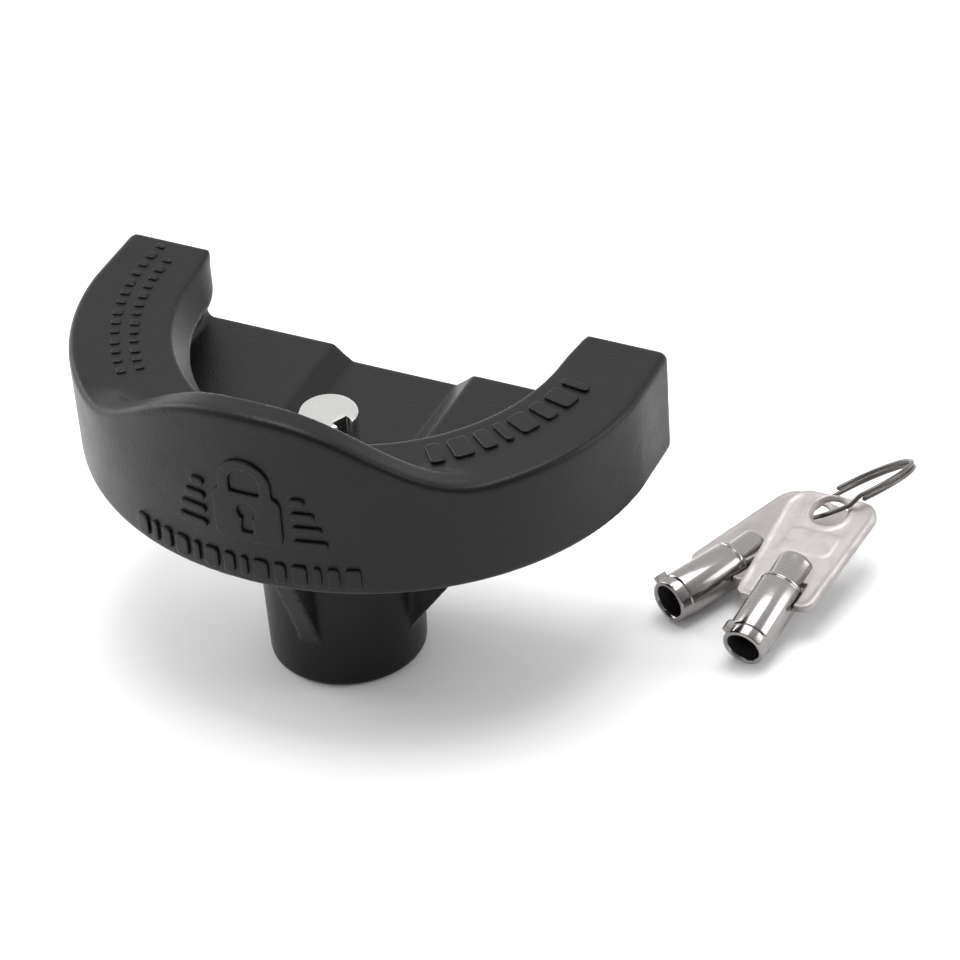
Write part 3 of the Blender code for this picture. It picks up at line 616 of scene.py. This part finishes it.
def wall_profile(section):
    """Points round one cross-section, from under the outer wall, over the top and the lip, to the plate."""
    rise = shield_rise(outer_point(section, 0, 0)[0]) if "angle" in section else 0.0
    top = ARM_TOP_Z + rise
    edge = TOP_EDGE_RADIUS
    points = [outer_point(section, OUTER_DRAFT + 1, PLATE_UNDERSIDE_Z)]
    points.append(outer_point(section, OUTER_DRAFT + 0.3, PLATE_UNDERSIDE_Z + 0.3))
    points.append(outer_point(section, OUTER_DRAFT, PLATE_UNDERSIDE_Z + 1))
    for i in range(7):
        a = math.pi / 2 * i / 6
        points.append(outer_point(section, edge * (1 - math.cos(a)), top - edge * (1 - math.sin(a))))
    for inset, drop in ((0.9, 0.0), (0.4, 0.1), (0.1, 0.4), (0.0, 0.9)):
        points.append(outer_point(section, SHIELD_THICKNESS - inset, max(ARM_TOP_Z, top - drop)))
    fillet_height = min(SHIELD_FILLET, 0.8 * rise)
    for i in range(10):
        a = math.pi / 2 * i / 9
        inset = SHIELD_THICKNESS + 0.2 + SHIELD_FILLET * (1 - math.cos(a))
        points.append(outer_point(section, inset, ARM_TOP_Z + fillet_height * (1 - math.sin(a))))
    points.extend(inner_point(section, radius, rear, z) for radius, rear, z in LIP_PROFILE)
    return points


def cradle_mesh():
    """The horseshoe with its plate as one closed skin."""
    sections = [{"side": -1, "along": along} for along in reversed(ARM_SHARES)]
    sections += [{"angle": -math.pi + math.pi * i / FRONT_STEPS} for i in range(FRONT_STEPS + 1)]
    sections += [{"side": 1, "along": along} for along in ARM_SHARES]
    bm = bmesh.new()
    rows = [[bm.verts.new(point) for point in wall_profile(section)] for section in sections]
    for near, far in zip(rows, rows[1:]):
        for i in range(len(near) - 1):
            bm.faces.new((near[i], far[i], far[i + 1], near[i + 1]))
    bm.faces.new([row[-1] for row in rows])
    bm.faces.new([row[0] for row in reversed(rows)])
    bm.faces.new(rows[0] + list(reversed(rows[-1])))
    return bm


def channel_cutter():
    """The trapezoid channel from behind the shield to the open rear."""
    slope = (CHANNEL_TOP_WIDTH - CHANNEL_FLOOR_WIDTH) / 2 / (PLATE_TOP_Z - CHANNEL_FLOOR_Z)
    rings = []
    for z in (CHANNEL_FLOOR_Z, PLATE_TOP_Z + 1):
        half = CHANNEL_FLOOR_WIDTH / 2 + slope * (z - CHANNEL_FLOOR_Z)
        front = CHANNEL_FRONT_Y - (z - CHANNEL_FLOOR_Z)
        rings.append([(-half, front, z), (half, front, z), (half, REAR_Y + 5, z), (-half, REAR_Y + 5, z)])
    return loft(rings)


def gusset_mesh(angle, reach, foot_z):
    """A rib from the boss out to the plate, with its foot and root inside them."""
    half, inside = GUSSET_THICKNESS / 2, PLATE_UNDERSIDE_Z + 1.5
    outline = [(GUSSET_ROOT, foot_z), (GUSSET_TOE, foot_z), (reach, PLATE_UNDERSIDE_Z)]
    outline += [(reach, inside), (GUSSET_ROOT, inside)]
    shape = loft([[(x, y, z) for y, z in outline] for x in (-half, half)])
    return turned_to(shape, Matrix.Rotation(angle - math.pi / 2, 3, "Z"))


def make_casting():
    """The cradle with boss and gussets added, channel and bores cut, and the whole skin softened."""
    sizes = bpy.context.scene.coupler_casting
    casting = as_object("casting", cradle_mesh())
    boss = [(BOSS_RADIUS - 1.2, 0), (BOSS_RADIUS - 0.3, 0.3), (BOSS_RADIUS, 1.2)]
    boss.append((BOSS_TOP_RADIUS, PLATE_UNDERSIDE_Z + 1))
    combine(casting, rod(boss, 128), "UNION")
    for i, size in enumerate((SIDE_GUSSET, FRONT_GUSSET) * 2):
        combine(casting, gusset_mesh(i * math.pi / 2, **size), "UNION")
    combine(casting, channel_cutter(), "DIFFERENCE")
    bore = [(BOSS_BORE_RADIUS + 1.6, -0.8), (BOSS_BORE_RADIUS, 0.8), (BOSS_BORE_RADIUS, BOSS_BORE_ROOF_Z)]
    bore += [(PIN_BORE_RADIUS, BOSS_BORE_ROOF_Z), (PIN_BORE_RADIUS, PLATE_TOP_Z)]
    combine(casting, rod(bore, 128), "DIFFERENCE")
    combine(casting, block(*BOLT_GROOVE), "DIFFERENCE")
    hole = rod([(GUIDE_SCREW_HOLE_RADIUS, 8), (GUIDE_SCREW_HOLE_RADIUS, 20)], 48)
    combine(casting, turned_to(hole, point_along_y(GUIDE_SCREW_Z)), "DIFFERENCE")
    cast_skin(casting, sizes.cast_grain / MM, 3, 0.48)
    only_finish(casting, "powder_coated_zinc_casting")
    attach(casting, "casting")
    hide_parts("lock_body")
    return casting


# ---- cast marks ----------------------------------------------------------------------------------


def relief(name, shapes, place):
    """Cast marks drawn flat as (u, v, height), rounded, and then laid on the casting by place."""
    marks = cast_skin(as_object(name, together(shapes)), 0.3, 3)
    for vertex in marks.data.vertices:
        vertex.co = Vector(place(*(vertex.co / MM))) * MM
    only_finish(marks, "powder_coated_zinc_casting")
    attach(marks, "casting")


def on_front_wall(u, v, height):
    """u runs round the front of the outer wall from its middle, v is the height above the ground."""
    angle = -math.pi / 2 + u / OUTER_HALF_WIDTH
    top = ARM_TOP_Z + shield_rise(OUTER_HALF_WIDTH * math.cos(angle)) - TOP_EDGE_RADIUS
    foot = PLATE_UNDERSIDE_Z + 1
    share = min(max((v - foot) / (top - foot), 0), 1)
    return outer_point({"angle": angle}, OUTER_DRAFT * (1 - share) - height, v)


def on_arm_top(casting):
    """Lays marks on whatever lies below: u and v are X and Y."""
    tree = BVHTree.FromObject(casting, bpy.context.evaluated_depsgraph_get())

    def place(u, v, height):
        hit = tree.ray_cast(Vector((u, v, 100)) * MM, Vector((0, 0, -1)))[0]
        return (u, v, (hit.z / MM if hit else ARM_TOP_Z) + height)

    return place


def make_front_marks():
    """A plain padlock sign between two stacks of bars, over a row of upright bars."""
    height = bpy.context.scene.coupler_casting.relief_height / MM
    cut = (MARK_ROOT - 1, height + 1)
    body = as_object("sign_body", slab(rounded_box(*SIGN_BODY), MARK_ROOT, height))
    keyhole = [(x, y) for x, y, _ in circle(KEYHOLE_RADIUS, 0, 32, KEYHOLE_CENTRE)]
    combine(body, slab(keyhole, *cut), "DIFFERENCE")
    combine(body, slab(KEYHOLE_SKIRT, *cut), "DIFFERENCE")
    cut_body = bmesh.new()
    cut_body.from_mesh(body.data)
    bmesh.ops.scale(cut_body, vec=(PER_MM,) * 3, verts=cut_body.verts)
    bpy.data.objects.remove(body, do_unlink=True)
    shapes = [cut_body, slab(arch(*SHACKLE), MARK_ROOT, height)]
    for side in (-1, 1):
        for row, width in enumerate(SIDE_BARS):
            centre = (side * (SIDE_BARS_FROM + width / 2), SIDE_BARS_FOOT_Z + SIDE_BARS_PITCH * row)
            shapes.append(slab(rounded_box(centre, width, 2.0, 0.9), MARK_ROOT, height))
    relief("front_sign", shapes, on_front_wall)
    bars, u = [], FRONT_BARS_FROM
    for width in FRONT_BARS:
        bars.append(slab(rounded_box((u + width / 2, FRONT_BARS_Z), width, 5.0, 0.8), MARK_ROOT, height))
        u += width + FRONT_BARS_GAP
    relief("front_bars", bars, on_front_wall)


def make_arm_marks(casting):
    """Blocks along the right arm, and two rows of short dashes along the left one."""
    height = bpy.context.scene.coupler_casting.relief_height / MM
    place = on_arm_top(casting)
    blocks, angle = [], BLOCKS_FROM
    for width in BLOCKS:
        turn = math.radians(angle + width / 2 / BLOCKS_PACED_RADIUS * DEGREES_PER_RADIAN)
        centre = (BLOCKS_RADIUS * math.cos(turn), LIP_CENTRE_Y + BLOCKS_RADIUS * math.sin(turn))
        blocks.append(slab(rounded_box(centre, 6.6, width, 0.8, turn), MARK_ROOT, height))
        angle += (width + BLOCKS_GAP) / BLOCKS_PACED_RADIUS * DEGREES_PER_RADIAN
    relief("right_arm_blocks", blocks, place)
    dashes = []
    for radius, start, count in DASH_ROWS:
        for i in range(count):
            turn = math.radians(start + i * DASH_PITCH)
            centre = (radius * math.cos(turn), LIP_CENTRE_Y + radius * math.sin(turn))
            dash = rounded_box(centre, 2.2, DASHES[i % len(DASHES)], 0.5, turn, 4)
            dashes.append(slab(dash, DASH_ROOT, height * 0.6))
    relief("left_arm_dashes", dashes, place)


# ---- plunger -------------------------------------------------------------------------------------


def make_pin():
    """Turned pin on its flange, with a keyed notch down its side."""
    flange_radius, flange_z, flange_top = PIN_FLANGE
    profile = [(flange_radius - 0.3, flange_z), (flange_radius, flange_z + 0.3)]
    profile += [(flange_radius, flange_top - 0.3), (flange_radius - 0.3, flange_top)]
    profile.append((PIN_RADIUS + 0.5, flange_top))
    profile += [(PIN_RADIUS + 0.1, flange_top + 0.15), (PIN_RADIUS, flange_top + 0.5)]
    profile += [(PIN_RADIUS, z) for z in (40, 50, 57, PIN_TOP_Z - 1.0)]
    for i in range(6):
        a = math.pi / 2 * i / 5
        inset, drop = PIN_END_ROUND * (1 - math.cos(a)), PIN_END_ROUND * (1 - math.sin(a))
        profile.append((PIN_RADIUS - inset, PIN_TOP_Z - drop))
    profile += [(4.4, PIN_TOP_Z), (2.4, PIN_TOP_Z - 0.03), (0.4, PIN_TOP_Z - 0.08)]
    pin = as_object("pin", rod(profile, 160), finish("lathe_turned_steel"))
    half = PIN_NOTCH_WIDTH / 2
    notch = block((PIN_RADIUS - PIN_NOTCH_DEPTH, -half, 40), (PIN_RADIUS + 2, half, PIN_TOP_Z + 1))
    combine(pin, turned_to(notch, Matrix.Rotation(PIN_NOTCH_ANGLE, 3, "Z")), "DIFFERENCE")
    round_edges(pin, 0.2)
    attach(pin, "plunger")
    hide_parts("locking_pin")


def round_edges(thing, width):
    """Breaks the sharp edges by a small round, as a tool or tumbling does."""
    bevel = thing.modifiers.new("edges", "BEVEL")
    bevel.width, bevel.segments, bevel.limit_method = width * MM, 2, "ANGLE"
    bevel.angle_limit = math.radians(35)
    settled(thing)
    thing.data.shade_smooth()
    thing.data.set_sharp_from_angle(angle=math.radians(40))


# ---- keys ----------------------------------------------------------------------------------------


def key_matrix(mouth, turn):
    """Where a key lies: its mouth, then its yaw, pitch and roll."""
    yaw, pitch, roll = turn
    spin = Matrix.Rotation(yaw, 4, "Z") @ Matrix.Rotation(-pitch, 4, "Y") @ Matrix.Rotation(roll, 4, "X")
    return Matrix.Translation(mouth) @ spin


def bow_outline(inset=0.0):
    """The bow's outline, narrow at the barrel and wide at the far end, with rounded corners."""
    points = []
    near_width, far_width = KEY_BOW_NEAR_HALF_WIDTH - inset, KEY_BOW_HALF_WIDTH - inset
    start, end = KEY_BOW_START + inset, KEY_BOW_END - inset
    near, far = 2.5 - inset * 0.6, 4.5 - inset * 0.8
    for x, y, radius, first, last in (
        (start + near, near_width - near, near, 180, 90),
        (end - far, far_width - far, far, 90, 0),
    ):
        for i in range(13):
            a = math.radians(first + (last - first) * i / 12)
            points.append((x + radius * math.cos(a), y + radius * math.sin(a)))
    return points + [(x, -y) for x, y in reversed(points)]


def frame_between(outer, inner, low, high):
    """A closed band between two outlines that have the same number of points."""
    bm = bmesh.new()
    corners = ((outer, low), (outer, high), (inner, high), (inner, low))
    loops = [[bm.verts.new((x, y, z)) for x, y in ring] for ring, z in corners]
    for k in range(4):
        a, b = loops[k], loops[(k + 1) % 4]
        for i in range(len(a)):
            j = (i + 1) % len(a)
            bm.faces.new((a[i], a[j], b[j], b[i]))
    return bm


def make_key(letter):
    """The stamped bow, with a raised rim, a collar round its countersunk hole and a panel, then its barrel."""
    matrix = key_matrix(*KEY_PLACES[letter])
    sizes = bpy.context.scene.coupler_keys
    rim, width = sizes.rim_height / MM, sizes.rim_width / MM
    half = KEY_BOW_THICKNESS / 2
    collar, collar_radius = half + KEY_COLLAR_HEIGHT, KEY_HOLE_RADIUS + KEY_COLLAR_WIDTH
    panel = half + rim * 0.8
    shapes = [slab(bow_outline(), -half, half)]
    shapes.append(frame_between(bow_outline(), bow_outline(width), -half, half + rim))
    shapes.append(rod([(collar_radius, -collar), (collar_radius, collar)], 64, (KEY_HOLE_AT - 0.4, 0)))
    shapes.append(slab(rounded_box(*KEY_PANEL), -panel, panel))
    bow = as_object(f"key_{letter}_plate", together(shapes), None, matrix)
    lip = half + rim + 0.2
    countersunk = [(KEY_HOLE_RADIUS + KEY_HOLE_FLARE, -lip), (KEY_HOLE_RADIUS, -half * 0.25)]
    countersunk += [(r, -z) for r, z in reversed(countersunk)]
    room = KEY_BARREL_RADIUS + 0.25
    gap_start, gap_end = KEY_BOW_GAP
    cutters = [rod(countersunk, 64, (KEY_HOLE_AT, 0)), block((gap_start, -room, -3), (gap_end, room, 3))]
    cast_skin(bow, 0.25, 2)
    for cutter in cutters:
        combine(bow, turned_to(cutter, matrix), "DIFFERENCE")
    cast_skin(bow, 0.22, 2)
    only_finish(bow, "tumbled_nickel_plate")
    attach(bow, f"key_{letter}")
    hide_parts(f"key_{letter}_bow")
    make_key_barrel(letter, matrix)


def make_key_barrel(letter, matrix):
    """Turned tube with a chamfered mouth, a step behind it, a rounded neck over the plate and a guide lug."""
    r, b, depth = KEY_BARREL_RADIUS, KEY_BORE_RADIUS, KEY_BORE_DEPTH
    mouth = [(0.01, depth + 1.2), (b - 0.8, depth + 0.4), (b, depth - 0.5)]
    mouth += [(b, 0.6), (b + 0.15, 0.2), (b + 0.4, 0)]
    outside = [(r - 0.75, 0), (r - 0.45, 0.12), (r - 0.3, 0.4), (r - 0.3, 2.6), (r - 0.1, 2.8), (r, 3.1)]
    outside += [(r, 16.9), (r - 0.15, 17.05), (r - 0.15, 17.35), (r, 17.5), (r, KEY_SHOULDER - 0.5)]
    outside += [(r - 0.12, KEY_SHOULDER - 0.15), (r - 0.5, KEY_SHOULDER)]
    outside += [(KEY_NECK_RADIUS + 0.2, KEY_SHOULDER + 0.1), (KEY_NECK_RADIUS, KEY_SHOULDER + 0.5)]
    outside.append((KEY_NECK_RADIUS, KEY_NECK_END - NECK_ROUND))
    for i in range(1, 9):
        a = math.pi / 2 * i / 8
        shrink, drop = NECK_ROUND * (1 - math.cos(a)), NECK_ROUND * (1 - math.sin(a))
        outside.append((KEY_NECK_RADIUS - shrink, KEY_NECK_END - drop))
    outside.append((0.01, KEY_NECK_END))
    barrel_mesh = turned_to(rod(mouth + outside, 96), Matrix.Rotation(math.pi / 2, 4, "Y"))
    barrel = as_object(f"key_{letter}_tube", barrel_mesh, finish("turned_key_nickel"), matrix)
    slit = KEY_BOW_THICKNESS / 2 + 0.05
    combine(barrel, turned_to(block((KEY_SLIT_START, -6, -slit), (30, 6, slit)), matrix), "DIFFERENCE")
    lug = turned_to(block(*KEY_LUG), Matrix.Rotation(KEY_LUG_ANGLE, 4, "X"))
    combine(barrel, turned_to(lug, matrix), "UNION")
    round_edges(barrel, 0.12)
    # The faces inside the bore get the near-black bore colour.
    barrel.data.materials.append(finish("near_black_key_bore"))
    for face in barrel.data.polygons:
        centre = face.center / MM
        if math.hypot(centre.y, centre.z) < b + 0.02 and 0.4 < centre.x < depth + 1.5:
            face.material_index = 1
    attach(barrel, f"key_{letter}")
    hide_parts(f"key_{letter}_barrel")


def wire(name, path, radius, sides, material):
    """A round wire along a list of points in millimetres, with domed ends."""
    rings = []
    side = None
    for i, point in enumerate(path):
        along = (path[min(i + 1, len(path) - 1)] - path[max(i - 1, 0)]).normalized()
        side = (along.orthogonal() if side is None else side - along * side.dot(along)).normalized()
        rings.append((point, side, along.cross(side), along))
    domes = [(share, math.sqrt(1 - share**2)) for share in (0.95, 0.6)]
    first, last = rings[0], rings[-1]
    shape = [(first[0] - first[3] * radius * share, first[1], first[2], size) for share, size in domes]
    shape += [(point, side, up, 1.0) for point, side, up, _ in rings]
    shape += [(last[0] + last[3] * radius * share, last[1], last[2], size) for share, size in reversed(domes)]
    steps = [FULL_TURN * k / sides for k in range(sides)]
    bm = loft([[p + radius * k * (s * math.cos(a) + u * math.sin(a)) for a in steps] for p, s, u, k in shape])
    return as_object(name, bm, material)


def make_key_ring():
    """Split ring: a turn and a half of wire, doubled along the arc that is clear of the keys."""
    turn = Vector(RING_NORMAL).normalized().to_track_quat("Z", "Y").to_matrix()
    lap_start, lap_end = RING_LAP
    path, count = [], 280
    for i in range(count + 1):
        share = i / count
        a = RING_START + FULL_TURN * RING_TURNS * share
        lap = min(max((share * RING_TURNS - lap_start) / (lap_end - lap_start), 0), 1)
        lift = (lap * lap * (3 - 2 * lap)) * 2.05 * RING_WIRE
        flat = Vector((RING_RADIUS * math.cos(a), RING_RADIUS * math.sin(a), lift))
        path.append(turn @ flat + Vector(RING_CENTRE))
    ring = wire("split_ring", path, RING_WIRE, 16, finish("drawn_spring_steel"))
    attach(ring, "ring")
    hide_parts("key_ring")


# ---- pieces carried over from the frame ----------------------------------------------------------

CARRIED = {
    "lock_shell": "turned_nickel_plate",
    "spindle": "turned_nickel_plate",
    "guide_screw": "bright_zinc_plated_steel",
    "carrier_screw_1": "bright_zinc_plated_steel",
    "carrier_screw_2": "bright_zinc_plated_steel",
    "latch_bolt": "bright_zinc_plated_steel",
    "latch_cam": "bright_zinc_plated_steel",
    "block_pin": "lathe_turned_steel",
    "driver_block": "turned_brass",
    "return_spring": "drawn_spring_steel",
    "dust_seal": "moulded_rubber",
}
CARRIED.update({f"{kind}_pin_{i}": "turned_brass" for kind in ("key", "driver") for i in range(1, 8)})
CARRIED.update({f"driver_spring_{i}": "drawn_spring_steel" for i in range(1, 8)})


# ---- operators -----------------------------------------------------------------------------------


class COUPLERLOCK_OT_stage(bpy.types.Operator):
    """Make the floor, the soft light and the camera"""

    bl_idname = "couplerlock.stage"
    bl_label = "Stage"

    def execute(self, context):
        settings = context.scene.coupler_stage
        self.make_floor(settings)
        self.make_light(context, settings)
        self.make_camera(context, settings)
        return {"FINISHED"}

    def make_floor(self, settings):
        """Matt painted board, faintly uneven."""
        material, tree, shader = start_material("painted_board", 0.0, 0.9, Specular_IOR_Level=0.1)
        place = add(tree, "TexCoord").outputs["Object"]
        mottle = add(tree, "TexNoise", {"Scale": 3.0, "Detail": 2}, {"Vector": place})
        pale = (*settings.floor, 1)
        dim = (*[c * 0.985 for c in settings.floor], 1)
        paint = add(tree, "Mix", {"A": pale, "B": dim}, {"Factor": mottle.outputs["Fac"]}, data_type="RGBA")
        tree.links.new(paint.outputs["Result"], shader.inputs["Base Color"])
        bm = bmesh.new()
        bmesh.ops.create_grid(bm, x_segments=8, y_segments=8, size=6000)
        bmesh.ops.translate(bm, vec=(0, 0, FLOOR_Z), verts=bm.verts)
        as_object("floor", bm, material)

    def make_light(self, context, settings):
        """White behind and overhead, dimmer where the camera stands, which keeps the black coat black."""
        world = bpy.data.worlds.new("studio")
        context.scene.world = world
        world.use_nodes = True
        tree = world.node_tree
        toward = add(tree, "TexCoord").outputs["Generated"]
        facing = add(tree, "VectorMath", {1: DIM_SIDE}, {0: toward}, operation="DOT_PRODUCT")
        strength = add(
            tree, "MapRange",
            {"From Min": 0.1, "From Max": 0.95, "To Min": 1.15 * settings.sky, "To Max": 0.3 * settings.sky},
            {"Value": facing.outputs["Value"]}, interpolation_type="SMOOTHSTEP",
        )
        tree.links.new(strength.outputs[0], tree.nodes["Background"].inputs["Strength"])
        tree.nodes["Background"].inputs["Color"].default_value = (*linear("#ffffff"), 1)
        for name, (place, size, watts) in LAMPS.items():
            lamp = bpy.data.lights.new(name, "AREA")
            lamp.shape, lamp.size, lamp.energy = "SQUARE", size, watts
            thing = bpy.data.objects.new(name, lamp)
            thing.location = place
            thing.rotation_euler = (-Vector(place)).to_track_quat("-Z", "Y").to_euler()
            context.scene.collection.objects.link(thing)

    def make_camera(self, context, settings):
        """A long lens from far off. Its focal length grows with the distance, so the lock keeps its size."""
        lens = bpy.data.cameras.new("camera")
        lens.sensor_width, lens.lens = 36, 180 * settings.distance
        lens.clip_end = 60
        camera = bpy.data.objects.new("camera", lens)
        columns = Matrix((CAMERA_RIGHT, CAMERA_UP, CAMERA_BACK)).transposed().to_4x4()
        away = Vector(CAMERA_BACK).normalized() * settings.distance
        columns.translation = Vector(CAMERA_TARGET) * MM + away
        camera.matrix_world = columns
        context.scene.collection.objects.link(camera)
        context.scene.camera = camera
        context.scene.view_settings.view_transform = "Standard"


class COUPLERLOCK_OT_casting(bpy.types.Operator):
    """Make the cast cradle with its boss, gussets, channel and cast marks"""

    bl_idname = "couplerlock.casting"
    bl_label = "Casting"

    def execute(self, context):
        casting = make_casting()
        make_front_marks()
        make_arm_marks(casting)
        return {"FINISHED"}


class COUPLERLOCK_OT_pin(bpy.types.Operator):
    """Make the turned locking pin"""

    bl_idname = "couplerlock.pin"
    bl_label = "Locking pin"

    def execute(self, context):
        make_pin()
        return {"FINISHED"}


class COUPLERLOCK_OT_keys(bpy.types.Operator):
    """Make both tubular keys and their split ring"""

    bl_idname = "couplerlock.keys"
    bl_label = "Keys and ring"

    def execute(self, context):
        for letter in KEY_PLACES:
            make_key(letter)
        make_key_ring()
        return {"FINISHED"}


class COUPLERLOCK_OT_carried(bpy.types.Operator):
    """Give each solid that stays in place its finish"""

    bl_idname = "couplerlock.carried"
    bl_label = "Lock internals"

    def execute(self, context):
        for node, name in CARRIED.items():
            only_finish(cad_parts[node], name)
        return {"FINISHED"}


class COUPLERLOCK_PT_panel(bpy.types.Panel):
    """Lists the pieces, with their sizes and colours"""

    bl_idname = "COUPLERLOCK_PT_panel"
    bl_label = "Coupler lock"
    bl_space_type = "VIEW_3D"
    bl_region_type = "UI"
    bl_category = "Coupler lock"

    def draw(self, context):
        for operator in OPERATORS:
            self.layout.operator(operator.bl_idname)
        for group in GROUPS:
            settings = getattr(context.scene, group)
            for name in settings.bl_rna.properties.keys():
                if name not in ("rna_type", "name"):
                    self.layout.prop(settings, name)


OPERATORS = (
    COUPLERLOCK_OT_stage,
    COUPLERLOCK_OT_carried,
    COUPLERLOCK_OT_casting,
    COUPLERLOCK_OT_pin,
    COUPLERLOCK_OT_keys,
)
GROUPS = {
    "coupler_casting": CastingSizes,
    "coupler_keys": KeySizes,
    "coupler_colours": FinishColours,
    "coupler_stage": StageSettings,
}


def register():
    for group in GROUPS.values():
        bpy.utils.register_class(group)
    for name, group in GROUPS.items():
        setattr(bpy.types.Scene, name, PointerProperty(type=group))
    for operator in OPERATORS:
        bpy.utils.register_class(operator)
    bpy.utils.register_class(COUPLERLOCK_PT_panel)


def unregister():
    bpy.utils.unregister_class(COUPLERLOCK_PT_panel)
    for operator in reversed(OPERATORS):
        bpy.utils.unregister_class(operator)
    for name in GROUPS:
        delattr(bpy.types.Scene, name)
    for group in reversed(GROUPS.values()):
        bpy.utils.unregister_class(group)


def main():
    register()
    bpy.ops.couplerlock.stage()
    bpy.ops.couplerlock.carried()
    bpy.ops.couplerlock.casting()
    bpy.ops.couplerlock.pin()
    bpy.ops.couplerlock.keys()


if __name__ == "__main__":
    main()
